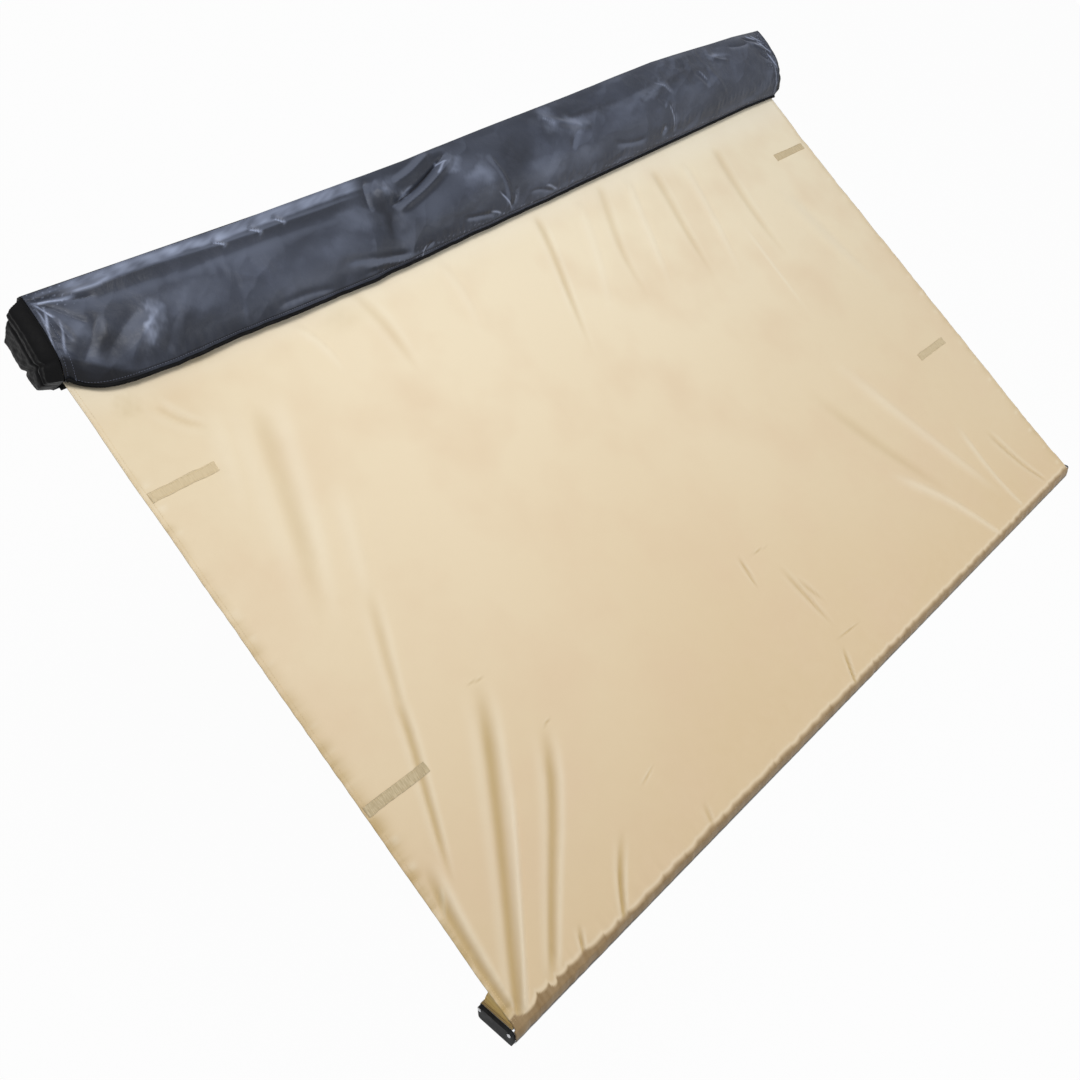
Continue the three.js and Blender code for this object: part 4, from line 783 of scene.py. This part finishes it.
# How full the bag is, and how far it bulges forward, at shares along its length.
FULLNESS = [(-0.5, 0), (-0.3, 0), (-0.156, 0.25), (0, 0.55), (0.12, 0.71), (0.28, 1), (0.444, 0.88),
            (0.5, 0.75)]
BULGE = [(-0.5, 1), (-0.2, 1), (0.5, 0.06)]
# The flap's section from the zip to the rear top: depth, height and forward bulge, as shares.
SECTION = [
    (0.055, 0, 0), (0.05, 0.006, 0.5), (0.05, 0.04, 0.92), (0.055, 0.13, 1), (0.1, 0.33, 0.93),
    (0.17, 0.575, 0.78), (0.28, 0.775, 0.58), (0.46, 0.914, 0.33), (0.7, 0.984, 0.1), (0.9, 1, 0),
    (1, 0.984, 0),
]


def table(points, at):
    places, values = zip(*points)
    return np.interp(at, places, values)


def bag_top(x):
    return CANOPY_Z + 0.080 + 0.047 * table(FULLNESS, x / CANOPY_W)


def bag_lean(x, z):
    """How far the bag leans back over the rail at height z."""
    at_top = np.maximum(-0.004, -0.016 + 0.035 * table(FULLNESS, x / CANOPY_W))
    return at_top * np.maximum(0, (z - REAR_RAIL_TOP) / (bag_top(x) - REAR_RAIL_TOP))


def bag_bulge(x):
    growth = 1 - np.exp(-(x + HALF_W) / 0.05)
    return np.maximum(0.010, 0.067 * growth * table(BULGE, x / CANOPY_W))


def section_points(x):
    """The flap's section at each place in x: a row of [y, z] points from the zip to the rear top."""
    points = [np.stack([np.full_like(x, value) for value in ZIP_HOLD], -1)]
    for depth, height, forward in SECTION:
        z = FLAP_LOW + height * (bag_top(x) - FLAP_LOW)
        y = ZIP_EDGE + depth * BAG_DEPTH - forward * bag_bulge(x) + bag_lean(x, z)
        points.append(np.stack([y, z], -1))
    return np.stack(points, 1)


def catmull(points, t):
    """Centripetal Catmull-Rom curves through each row of points, at parameters t from 0 to 1."""
    last = points.shape[1] - 1
    out = np.zeros((points.shape[0], len(t), 2))
    for k, value in enumerate(t):
        i = min(int(value * last), last - 1)
        w = value * last - i
        p1, p2 = points[:, i], points[:, i + 1]
        p0 = points[:, i - 1] if i > 0 else 2 * p1 - p2
        p3 = points[:, i + 2] if i + 1 < last else 2 * p2 - p1
        pairs = ((p0, p1), (p1, p2), (p2, p3))
        d0, d1, d2 = (np.linalg.norm(b - a, axis=1, keepdims=True) ** 0.5 for a, b in pairs)
        m1 = ((p1 - p0) / d0 - (p2 - p0) / (d0 + d1) + (p2 - p1) / d1) * d1
        m2 = ((p2 - p1) / d1 - (p3 - p1) / (d1 + d2) + (p3 - p2) / d2) * d1
        out[:, k] = ((2 * p1 - 2 * p2 + m1 + m2) * w ** 3 + (3 * p2 - 3 * p1 - 2 * m1 - m2) * w ** 2
                     + m1 * w + p1)
    return out


# Columns of the flap, closest where it is creased most, and rows, closest near the zip.
flap_xs = spaced([-HALF_W, -1.0, -0.50, 0.0, 1.14, HALF_W], [100, 110, 190, 230, 45])
flap_rows = np.concatenate([np.linspace(0, 0.22, 36, endpoint=False), np.linspace(0.22, 1, 92)])


def flap_base():
    """The smooth flap, with a row of points at each share of its section, and the section's mean length."""
    dense = catmull(section_points(flap_xs), np.linspace(0, 1, 420))
    steps = np.linalg.norm(np.diff(dense, axis=1), axis=2)
    run = np.concatenate([np.zeros((len(flap_xs), 1)), np.cumsum(steps, axis=1)], 1)
    base = np.zeros((len(flap_xs), len(flap_rows), 3))
    base[:, :, 0] = flap_xs[:, None]
    for k in range(len(flap_xs)):
        for axis in (0, 1):
            base[k, :, axis + 1] = np.interp(flap_rows * run[k, -1], run[k], dense[k, :, axis])
    return base, float(run[:, -1].mean())


flap_smooth, FLAP_RUN = flap_base()


def line_mask(x, s, ends, width, sharp=False, fading=0.25):
    """How close each point is to a line. Its ends are given as thousandths: metres along X, and shares
    round the section. Its width is in millimetres."""
    (x0, s0), (x1, s1) = np.array(ends) / 1000
    width = width / 1000
    dx, ds = x1 - x0, (s1 - s0) * FLAP_RUN
    span = math.hypot(dx, ds)
    along = ((x - x0) * dx + (s - s0) * FLAP_RUN * ds) / span ** 2
    aside = ((x - x0) * ds - (s - s0) * FLAP_RUN * dx) / span
    aside = aside + min(0.06 * span, 0.006) * (np.sin(3.1 * along + 9 * x0) - 0.5)
    fade = smooth((along + fading / 2) / fading) * (1 - smooth((along - 1 + fading / 2) / fading))
    if sharp:
        return fade * np.exp(-(np.sqrt(aside ** 2 + (0.25 * width) ** 2) - 0.25 * width) / width)
    return fade * bell(aside / width)


def blob(x, s, at, size, tilt):
    """A soft oval patch: its middle as in line_mask, its half sizes in millimetres, and its tilt."""
    dx, ds = x - at[0] / 1000, (s - at[1] / 1000) * FLAP_RUN
    u = dx * math.cos(tilt) + ds * math.sin(tilt)
    v = -dx * math.sin(tilt) + ds * math.cos(tilt)
    return np.exp(-((u / size[0] * 1000) ** 2 + (v / size[1] * 1000) ** 2))


# Creases in the flap: two ends as in line_mask, height and width in millimetres, and whether it is sharp.
FLAP_CREASES = [
    ((-360, 715), (-168, 905), -13.0, 6.5, True), ((-345, 660), (-150, 855), 6.0, 9.0, False),
    ((-330, 860), (-200, 975), 5.0, 11.0, False), ((-405, 960), (-425, 720), -6.0, 10.0, True),
    ((-385, 880), (-350, 760), 4.5, 13.0, False), ((-1200, 895), (-440, 885), 2.2, 6.0, True),
    ((-1180, 820), (-450, 815), -2.2, 16.0, False), ((-826, 930), (-808, 865), -5.0, 4.0, True),
    ((-734, 925), (-716, 860), -5.5, 4.0, True), ((-668, 935), (-650, 870), -6.0, 4.5, True),
    ((-30, 720), (-22, 300), 3.5, 8.0, False), ((-45, 440), (-16, 270), -2.8, 3.2, True),
    ((10, 420), (-4, 300), -2.0, 3.0, True), ((685, 520), (696, 240), -2.6, 3.4, True),
    ((200, 880), (305, 730), 4.0, 11.0, False), ((235, 780), (345, 680), 3.2, 10.0, False),
    ((300, 660), (250, 520), -2.6, 9.0, False), ((560, 730), (700, 690), 3.2, 11.0, False),
    ((640, 640), (660, 520), -2.2, 7.0, False), ((840, 720), (880, 560), -2.6, 8.0, False),
    ((940, 860), (1020, 760), 2.8, 7.0, True), ((905, 700), (960, 420), 2.2, 9.0, False),
    ((1060, 900), (1150, 860), -3.0, 5.0, True), ((-1015, 600), (-1115, 370), 3.0, 13.0, False),
    ((-1065, 640), (-1160, 400), -2.6, 15.0, False), ((-975, 560), (-1050, 340), -1.4, 15.0, False),
    ((-1150, 690), (-1205, 330), -4.5, 12.0, False), ((-1243, 905), (-1130, 875), -4.5, 5.0, True),
    ((-1235, 880), (-1165, 700), -4.0, 5.0, True), ((-1232, 860), (-1205, 560), -3.5, 4.5, True),
    ((-1228, 930), (-1080, 985), 3.5, 7.0, False), ((-560, 430), (-380, 330), -2.6, 9.0, False),
    ((-500, 330), (-300, 255), 2.2, 7.0, False), ((-760, 360), (-620, 300), -2.0, 8.0, False),
    ((-300, 300), (-335, 240), -3.0, 3.0, True), ((-180, 400), (-90, 290), -2.4, 6.0, False),
    ((60, 330), (150, 250), -2.0, 4.0, True), ((420, 420), (540, 300), -2.2, 8.0, False),
    ((1190, 700), (1240, 500), -3.0, 5.0, True), ((1180, 860), (1243, 640), 3.0, 5.0, True),
    ((1150, 950), (1225, 820), -2.8, 4.5, True),
]
# Dents and swells: middle, half sizes, height and tilt.
FLAP_DENTS = [
    ((-395, 600), (30, 50), -7.5, 0.2), ((-372, 820), (22, 20), 4.0, 0.5),
    ((-100, 640), (60, 40), 3.0, 0.0), ((80, 620), (80, 60), -3.5, 0.3), ((640, 290), (10, 10), -4.0, 0.0),
    ((450, 780), (160, 20), -3.0, -0.1), ((-1165, 480), (30, 40), -4.0, 0.3),
    ((-250, 450), (50, 40), 2.5, 0.4), ((900, 500), (80, 60), 2.0, 0.2),
]


def facets(x, tall, size, seed):
    """Bowls between straight ridges, as in crumpled vinyl: the distance to the nearest scattered point."""
    r = np.random.default_rng(seed)
    moved_x = x + 0.35 * size * fbm(x, tall, 2.5 * size, seed + 1, 2)
    moved_s = tall + 0.35 * size * fbm(x, tall, 2.5 * size, seed + 2, 2)
    count = int(1.1 * CANOPY_W * FLAP_LENGTH / size ** 2)
    nearest = np.full(moved_x.shape, 9.0)
    for at_x, at_s in r.uniform((-1.30, -0.03), (1.30, FLAP_LENGTH + 0.03), (count, 2)):
        nearest = np.minimum(nearest, (moved_x - at_x) ** 2 + (moved_s - at_s) ** 2)
    return np.sqrt(nearest) / size


def flap_relief(x, s):
    """How far the cloth stands off the smooth flap: by its large forms alone, and with the fine ones."""
    tall = s * FLAP_LENGTH
    along = x / CANOPY_W
    inset = HALF_W - np.abs(x)
    wavy = 0.0025 * np.sin(np.pi * smooth((s - 0.36) / 0.64))
    wavy = wavy * np.cos(7 * np.pi * along) * np.cos(np.pi * along)
    slack = smooth((s - 0.12) / 0.12) * (0.3 + 0.7 * smooth((1 - s) / 0.08))
    loose = 0.0010 * fbm(x, tall, 0.24, 71, 3) + 0.0036 * (facets(x, tall, 0.12, 301) - 0.5)
    patchy = smooth(0.5 + fbm(x, tall, 0.5, 82, 2))
    loose = loose + 0.0018 * (facets(x, tall, 0.05, 311) - 0.5) * patchy
    for first, last, height, width, sharp in FLAP_CREASES:
        loose = loose + height / 1000 * line_mask(x, s, (first, last), width, sharp)
    for at, size, height, tilt in FLAP_DENTS:
        loose = loose + height / 1000 * blob(x, s, at, size, tilt)
    large = wavy + slack * loose
    pucker = np.abs(fbm(x, s * 0.06, 0.035, 73, 3))
    loose = 0.0005 * fbm(x, tall, 0.045, 72, 3) + 0.0022 * pucker * bell((s - 0.30) / 0.06)
    loose = loose + 0.0016 * bell(inset / 0.030) * fbm(x, tall, 0.028, 74, 3)
    # the hem's doubled cloth at both ends
    hem = 0.0008 * smooth((0.020 - inset) / 0.0015) + 0.0006 * smooth((0.0045 - inset) / 0.001)
    return large, large + slack * loose + hem


flap_x, flap_s = flap_xs[:, None], flap_rows[None, :]
flap_tall = flap_s * FLAP_LENGTH
flap_out = grid_normals(flap_smooth)
if flap_out[len(flap_xs) // 2, 90, 2] < 0:
    flap_out = -flap_out
flap_large, flap_lift = flap_relief(flap_x, flap_s)
# The flap's lower edge runs where the bag turns out of the photograph's sight.
facing = np.einsum("ijk,ijk->ij", flap_out, np.array(EYE) - flap_smooth) > 0
turning = np.pad(flap_rows[np.argmax(facing, axis=1)], 12, mode="edge")
turning = np.convolve(turning, np.ones(25) / 25, mode="valid")
edge_line = turning[:, None] + 0.010
flap_lift = flap_lift + 0.0014 * bell((flap_s - edge_line) * FLAP_LENGTH / 0.0022)
flap = flap_smooth + flap_out * (flap_lift - FLAP_T / 2)[:, :, None]
flap_obj = thick_sheet("bag_flap_cover", flap, FLAP_T)

# Painted shade on the flap, and painted highlights: middle, half sizes, strength and tilt.
FLAP_SHADE_AREAS = [
    ((-400, 610), (30, 60), 0.55, 0.1), ((-370, 500), (40, 30), 0.45, 0.0),
    ((-190, 420), (60, 18), 0.40, 0.1), ((60, 640), (70, 50), 0.42, 0.2), ((30, 380), (35, 40), 0.35, 0.0),
    ((380, 800), (150, 18), 0.50, -0.12), ((780, 740), (220, 20), 0.40, -0.1),
    ((-1150, 500), (40, 55), 0.68, 0.4), ((-1000, 400), (100, 30), 0.50, 0.1),
    ((430, 480), (120, 50), 0.25, 0.0), ((900, 380), (140, 50), 0.25, 0.0),
    ((1080, 620), (70, 70), 0.25, 0.0), ((-650, 640), (70, 50), 0.20, 0.0),
    ((-850, 300), (160, 20), 0.35, 0.0),
]
FLAP_HIGHLIGHT_AREAS = [
    ((-1062, 520), (14, 36), 0.95, -0.75), ((-1030, 580), (20, 18), 0.40, 0.0),
    ((-1190, 640), (20, 40), 0.35, 0.2), ((-950, 620), (80, 30), 0.18, 0.0),
    ((-150, 800), (30, 20), 0.38, 0.0), ((-90, 640), (45, 32), 0.42, 0.0),
    ((-365, 835), (22, 14), 0.45, 0.5), ((-315, 760), (14, 18), 0.75, 0.4),
    ((-480, 720), (50, 40), 0.22, 0.0), ((-560, 560), (80, 40), 0.16, 0.0),
    ((225, 840), (20, 30), 0.50, 0.6), ((300, 710), (40, 20), 0.48, -0.3),
    ((140, 480), (60, 40), 0.22, 0.0), ((620, 715), (50, 16), 0.36, 0.0),
    ((690, 700), (12, 40), 0.28, 0.1), ((520, 640), (60, 30), 0.18, 0.0),
    ((300, 400), (60, 24), 0.16, 0.0), ((980, 840), (40, 10), 0.50, -0.2),
    ((-700, 480), (80, 30), 0.10, 0.0), ((800, 560), (60, 50), 0.12, 0.0),
]
# Painted highlights on the edges of creases: two ends, width and strength.
CREASE_HIGHLIGHT_LINES = [
    ((-190, 885), (-160, 850), 3.0, 0.85), ((-160, 850), (-205, 790), 3.0, 0.70),
    ((-290, 770), (-350, 700), 2.5, 0.45), ((-826, 915), (-808, 870), 2.5, 0.90),
    ((-734, 915), (-714, 865), 2.8, 0.95), ((-668, 920), (-648, 870), 2.8, 0.90),
    ((-47, 440), (-18, 275), 2.0, 0.75), ((4, 400), (-4, 310), 1.8, 0.50),
    ((681, 500), (692, 260), 2.0, 0.70), ((-322, 300), (-340, 235), 2.0, 0.70),
    ((660, 780), (700, 640), 2.5, 0.45), ((860, 720), (880, 620), 2.5, 0.40),
    ((-90, 330), (-60, 270), 2.2, 0.60), ((120, 320), (160, 255), 2.2, 0.60),
    ((-1236, 890), (-1165, 905), 3.5, 0.95), ((-1240, 880), (-1215, 760), 3.0, 0.95),
    ((-1228, 850), (-1236, 600), 2.2, 0.75), ((-1243, 800), (-1246, 300), 1.6, 0.60),
    ((-1216, 720), (-1226, 400), 2.0, 0.55), ((-1160, 905), (-1090, 930), 4.0, 0.60),
    ((1170, 960), (1200, 880), 2.2, 0.90), ((1196, 950), (1222, 840), 2.0, 0.90),
    ((1215, 860), (1236, 660), 2.2, 0.90), ((1228, 660), (1242, 460), 2.0, 0.80),
    ((1190, 840), (1215, 780), 1.8, 0.80), ((1242, 480), (1238, 150), 1.4, 0.55),
    ((644, 330), (648, 285), 3.5, 0.55), ((200, 880), (235, 800), 3.0, 0.45),
]
ragged_x = flap_x + 0.030 * fbm(flap_x, flap_tall, 0.11, 83, 4)
ragged_s = flap_s + 0.110 * fbm(flap_x, flap_tall, 0.09, 84, 4)
# The slope towards the light, from -1 on the shaded side of a crease to 1 on its lit side.
slope_x = np.gradient(flap_large, flap_xs, axis=0)
slope_s = np.gradient(flap_large, flap_rows * FLAP_LENGTH, axis=1)
lit_side = np.tanh((0.6 * slope_x - 0.8 * slope_s) / 0.12)
belly_low = 0.275 + 0.13 * bell((flap_x + 1.21) / 0.08)
belly_shade = smooth((belly_low - flap_s) / 0.07) * (1 - smooth((flap_x + 1.08) / 0.22))
# Painted shade: black where the flap turns away below its lower edge, on the lower left bulge, in the deep
# crease's valley, on the shaded sides of creases and in the listed areas. A dark line also runs just above
# the lower edge.
dark = strongest(0.98 * smooth((edge_line + 0.007 - flap_s) / 0.004), [
    0.85 * belly_shade,
    0.92 * line_mask(flap_x, flap_s, ((-362, 712), (-200, 875)), 4.0),
    0.34 * np.clip(-lit_side, 0, 1),
    0.85 * bell((flap_s - edge_line - 0.034) * FLAP_LENGTH / 0.0020),
])
dark = strongest(dark, (
    amount * blob(ragged_x, ragged_s, at, size, tilt) for at, size, amount, tilt in FLAP_SHADE_AREAS))
# A painted reflection: the pale strip along the rear edge, left of the middle.
strip_low = 0.888 + 0.016 * fbm(flap_x, 0 * flap_s, 0.16, 85, 4)
strip = smooth((flap_s - strip_low) / 0.035) * (0.75 + 0.7 * fbm(flap_x, flap_s * 1.2, 0.14, 75, 4))
strip = strip * smooth((flap_x + 1.20) / 0.06) * (1 - smooth((flap_x + 0.455) / 0.06))
strip = strip * (1 - 0.4 * smooth((flap_s - 0.965) / 0.03))
pale = strongest(0.50 * np.clip(strip, 0, 1.4), (
    0.7 * amount * blob(ragged_x, ragged_s, at, size, tilt) for at, size, amount, tilt in FLAP_HIGHLIGHT_AREAS))
pale = strongest(pale, (
    amount * line_mask(flap_x, flap_s, (first, last), width, fading=0.4)
    for first, last, width, amount in CREASE_HIGHLIGHT_LINES))
# Painted highlights on the lit sides of creases above the lower edge, and small specks of light in the
# crumpled ends and above the lower edge.
speck = np.clip(fbm(flap_x, flap_tall, 0.010, 76, 2) - 0.35, 0, 1) * 1.6
near_ends = (bell((flap_x - 1.225) / 0.022) * smooth((flap_s - 0.35) / 0.2)
             + bell((flap_x + 1.20) / 0.045) * smooth((flap_s - 0.80) / 0.06))
near_edge = 0.7 * bell((flap_s - edge_line - 0.05) / 0.03) * smooth((flap_x + 0.55) / 0.2)
pale = strongest(pale, [
    0.15 * np.clip(lit_side, 0, 1) * smooth((flap_s - edge_line - 0.02) / 0.05),
    speck * np.clip(near_ends + near_edge, 0, 1),
])
# The shade mask is painted shade and the pale mask painted highlights.
add_mask(flap_obj, "shade", dark)
add_mask(flap_obj, "pale", np.clip(pale, 0, 1) * (1 - smooth((edge_line + 0.012 - flap_s) / 0.006)))
finish_piece(flap_obj, VINYL, "bag_vinyl", "bag_flap")


def flap_at(x, s):
    """The outer face of the flap and its normal at places along X and shares round the section."""
    i, a = cell(x, flap_xs)
    j, b = cell(s, flap_rows)
    middle, out = (between(values, i, j, a[:, None], b[:, None]) for values in (flap, flap_out))
    return middle + out * 0.0010, out


# A row of stitches above the flap's lower edge, and two in each end's hem
seam_x = np.linspace(-1.236, 1.236, 900)
flap_seams = [flap_at(seam_x, np.interp(seam_x, flap_xs, turning) + 0.038)]
up = np.linspace(0.12, 0.985, 160)
for inset in (0.0075, 0.0185):
    for side in (-1, 1):
        flap_seams.append(flap_at(np.full_like(up, side * (HALF_W - inset)), up))
flap_rows_sewn = [stitch_row(seam, out, 0.006, 0.004, 0.0009) for seam, out in flap_seams]
flap_stitches = join("flap_stitches", flap_rows_sewn)
finish_piece(flap_stitches, THREAD_DARK, "bag_vinyl")


def tube_along(name, path, radius, sides=10):
    """A closed tube of one radius along a path."""
    ahead = np.gradient(path, axis=0)
    ahead /= np.linalg.norm(ahead, axis=1, keepdims=True)
    across = np.cross(ahead, (0, 0, 1.0))
    across /= np.linalg.norm(across, axis=1, keepdims=True)
    up = np.cross(across, ahead)
    angle = np.linspace(0, 2 * np.pi, sides, endpoint=False)[None, :, None]
    rings = path[:, None] + radius * (np.cos(angle) * across[:, None] + np.sin(angle) * up[:, None])
    idx = np.arange(len(path) * sides).reshape(len(path), sides)
    beside = np.roll(idx, -1, axis=1)
    walls = np.stack([idx[:-1], beside[:-1], beside[1:], idx[1:]], -1).reshape(-1, 4)
    faces = [tuple(f) for f in walls] + [tuple(idx[0][::-1]), tuple(idx[-1])]
    return new_mesh(name, rings.reshape(-1, 3), faces)


edge_xs = np.linspace(-1.2485, 1.2485, 700)
edge_path, edge_out = flap_at(edge_xs, np.interp(edge_xs, flap_xs, turning) + 0.008)
piping = tube_along("flap_edge_piping", edge_path + edge_out * 0.0006, 0.0043)
finish_piece(piping, PIPING, "black_vinyl")


def vinyl_panel(name, node, points, mat, slot, flip=False):
    obj = thick_sheet(name, points, 0.0016, flip=flip)
    add_mask(obj, "shade", [0])
    return finish_piece(obj, mat, slot, node)


# The back panel stands flat on the rail and leans with the bag above it.
xs = np.linspace(-HALF_W, HALF_W, 260)[:, None]
up = np.concatenate([np.linspace(0, 0.5, 12, endpoint=False), np.linspace(0.5, 1, 14)])[None, :]
top_z = catmull(section_points(xs[:, 0]), [1.0])[:, 0, 1][:, None] - 0.0030
above_rail = np.maximum(0, 2 * up - 1)
z = np.where(up < 0.5, BAG_BOTTOM + (REAR_RAIL_TOP - BAG_BOTTOM) * 2 * up,
             REAR_RAIL_TOP + (top_z - REAR_RAIL_TOP) * above_rail)
wrinkle = 0.0009 * fbm(xs, z, 0.2, 81, 3) * smooth(above_rail * 4) * smooth((1 - above_rail) * 4)
panel = grid_of(xs, BAG_BACK + bag_lean(xs, z) - 0.0012 + wrinkle, z)
back = vinyl_panel("bag_back_cloth", "bag_back_panel", panel, VINYL, "bag_vinyl")

# The bag's floor, which sags between the rail and its lip
LIP = ZIP_EDGE + 0.024


def floor_height(t):
    sag = 0.011 * np.sin(np.pi * smooth(t * 0.85))
    return BAG_BOTTOM - SEAT_GAP - sag + 0.007 * smooth(1 - (1 - t) / 0.25)


xs = np.linspace(-HALF_W, HALF_W, 300)[:, None]
t = np.linspace(0, 1, 36)[None, :]
z = floor_height(t) - 0.0012 + 0.0022 * fbm(xs, t * 0.15, 0.18, 91, 4) * np.sin(np.pi * t)
panel = grid_of(xs, BAG_BACK + (LIP - BAG_BACK) * t, z)
bag_floor = vinyl_panel("bag_floor_cloth", "bag_bottom_panel", panel, VINYL, "bag_vinyl")


def gusset(side, word):
    """An end of the bag: its edges follow the flap's section, the floor and the back panel."""
    end = side * HALF_W
    i, j = np.linspace(0, 1, 72)[:, None], np.linspace(0, 1, 72)[None, :]
    ends = section_points(np.array([end]))
    rim = catmull(ends, 1 - i[:, 0] * 0.64)[0]
    corner_y = catmull(ends, [1.0])[0, 0, 0]
    low = floor_height(i) - 0.0024
    z = low + (rim[:, 1:] - low) * j
    low_y = BAG_BACK + (LIP - BAG_BACK) * i
    leaning = bag_lean(np.full_like(z, end), z) - (corner_y - BAG_BACK) * j
    y = low_y + (rim[:, :1] - low_y) * j + leaning * (1 - i) ** 2
    edges = (i, 1 - i, j, 1 - j)
    bulge = 0.030 * np.minimum.reduce(np.broadcast_arrays(*(smooth(edge / 0.12) for edge in edges)))
    free = math.prod(smooth(edge / 0.1) for edge in edges)
    fold = 0.0035 * fbm(y, z, 0.07, 95 + side, 4) - 0.0060 * bell((i - 0.60 - 0.10 * (j - 0.5)) / 0.035)
    fold = fold - 0.0050 * bell((j - 0.66 + 0.12 * i) / 0.04) + 0.0030 * bell((j - 0.80 + 0.05 * i) / 0.03)
    x = side * (HALF_W + 0.0015 + bulge + fold * free)
    points = grid_of(x, y, z)
    obj = vinyl_panel("bag_end_" + word, "bag_gusset_" + word, points, GUSSET, "black_vinyl", flip=side > 0)


gusset(-1, "left")
gusset(1, "right")

# Zip. The corners of a tooth are in millimetres from its place on the tape.
TOOTH_CORNERS = [(-1.1, 0, -1), (1.1, 0, -1), (1.1, 3.2, -1), (-1.1, 3.2, -1),
                 (-1.1, 0, 1), (1.1, 0, 1), (0.8, 3.2, 0.8), (-0.8, 3.2, 0.8)]
TOOTH_FACES = [(0, 3, 2, 1), (4, 5, 6, 7), (0, 1, 5, 4), (1, 2, 6, 5), (2, 3, 7, 6), (3, 0, 4, 7)]
TOOTH_PITCH = 0.004


def zip_tape(node):
    """A woven tape in the CAD tape's box, with its row of teeth."""
    low, high = (np.array(corner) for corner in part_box(node))
    x, y = np.meshgrid(np.linspace(low[0], high[0], 320), np.linspace(low[1], high[1], 10), indexing="ij")
    z = (low[2] + high[2]) / 2 + 0.0002 * fbm(x, y, 0.06, 101, 2)
    tape = thick_sheet(node + "_web", np.stack([x, y, z], -1), 0.0012)
    verts, faces = [], []
    for place in np.arange(low[0] + TOOTH_PITCH, high[0] - TOOTH_PITCH, TOOTH_PITCH):
        foot = np.array([place, low[1] + 0.0002, (low[2] + high[2]) / 2])
        faces += [tuple(len(verts) + k for k in face) for face in TOOTH_FACES]
        verts += [foot + np.array(corner) / 1000 for corner in TOOTH_CORNERS]
    teeth = new_mesh(node + "_web_teeth", verts, faces, smooth_shade=False)
    finish_piece(tape, TAPE, "zip_black", node)
    finish_piece(teeth, TEETH, "zip_black")
    return tape, teeth


upper_tape, upper_teeth = zip_tape("zip_tape_upper")
zip_tape("zip_tape_lower")

# Camera, floor and light
camera = add_object("camera", bpy.data.cameras.new("camera"))
camera.data.sensor_width = 36
camera.data.sensor_fit = "HORIZONTAL"
camera.data.lens = 38.9333
camera.data.shift_x = -20 / 1080
camera.data.shift_y = -60 / 1080
camera.data.clip_end = 50
CAMERA_TURN = Matrix(((0.6730681, 0.4258475, -0.6046761),
                      (-0.5942021, 0.7981628, -0.0992975),
                      (0.4403444, 0.4261337, 0.7902575)))
camera.matrix_world = Matrix.Translation(EYE) @ CAMERA_TURN.to_4x4()
bpy.context.scene.camera = camera
WHITE = (1, 1, 1)
SKY = (0.93, 0.96, 1)
FLOOR_GREY = (0.86, 0.86, 0.86)
FLOOR_Z = -2.12
FLOOR_HALF = 9


def two_faced(owner, lit, shown, share, output):
    """A material or world with one shader that lights the object, and another that camera, glossy and
    transmission rays meet, by the given share."""
    m = Nodes(owner)
    m.tree.nodes.clear()
    rays = m.add("ShaderNodeLightPath").outputs
    direct = m.math("MAXIMUM", rays["Is Camera Ray"], rays["Is Glossy Ray"])
    direct = m.math("MAXIMUM", direct, rays["Is Transmission Ray"])
    shaders = [m.add(kind, inputs).outputs[0] for kind, inputs in (lit, shown)]
    mixed = m.add("ShaderNodeMixShader", [(0, m.times(direct, share)), (1, shaders[0]), (2, shaders[1])])
    m.add(output, [("Surface", mixed.outputs[0])])
    return owner


floor_corners = [(x * FLOOR_HALF, y * FLOOR_HALF, FLOOR_Z) for x, y in ((-1, -1), (1, -1), (1, 1), (-1, 1))]
floor = new_mesh("floor", floor_corners, [(0, 1, 2, 3)], False)
floor.data.materials.append(two_faced(
    bpy.data.materials.new("floor_pale"), ("ShaderNodeBsdfDiffuse", [("Color", FLOOR_GREY)]),
    ("ShaderNodeEmission", [("Color", WHITE), ("Strength", 1.0)]), 0.96, "ShaderNodeOutputMaterial"))
bpy.context.scene.world = two_faced(
    bpy.data.worlds.new("studio"), ("ShaderNodeBackground", [("Color", SKY), ("Strength", 0.42)]),
    ("ShaderNodeBackground", [("Color", WHITE), ("Strength", 1.0)]), 1.0, "ShaderNodeOutputWorld")


def area_light(name, place, target, size, power, colour):
    light = add_object(name, bpy.data.lights.new(name, "AREA"))
    light.data.size = size
    light.data.energy = power
    light.data.color = colour
    light.location = place
    light.rotation_euler = (Vector(target) - Vector(place)).to_track_quat("-Z", "Y").to_euler()


area_light("key", (-1.1, 0.2, 3.3), (-0.1, -0.8, 0), 1.6, 70, (1, 0.985, 0.96))
area_light("fill", (2.4, -3.0, 3.2), (0, -0.9, 0), 2.5, 60, (0.95, 0.97, 1))

bpy.context.scene.view_settings.view_transform = "Standard"
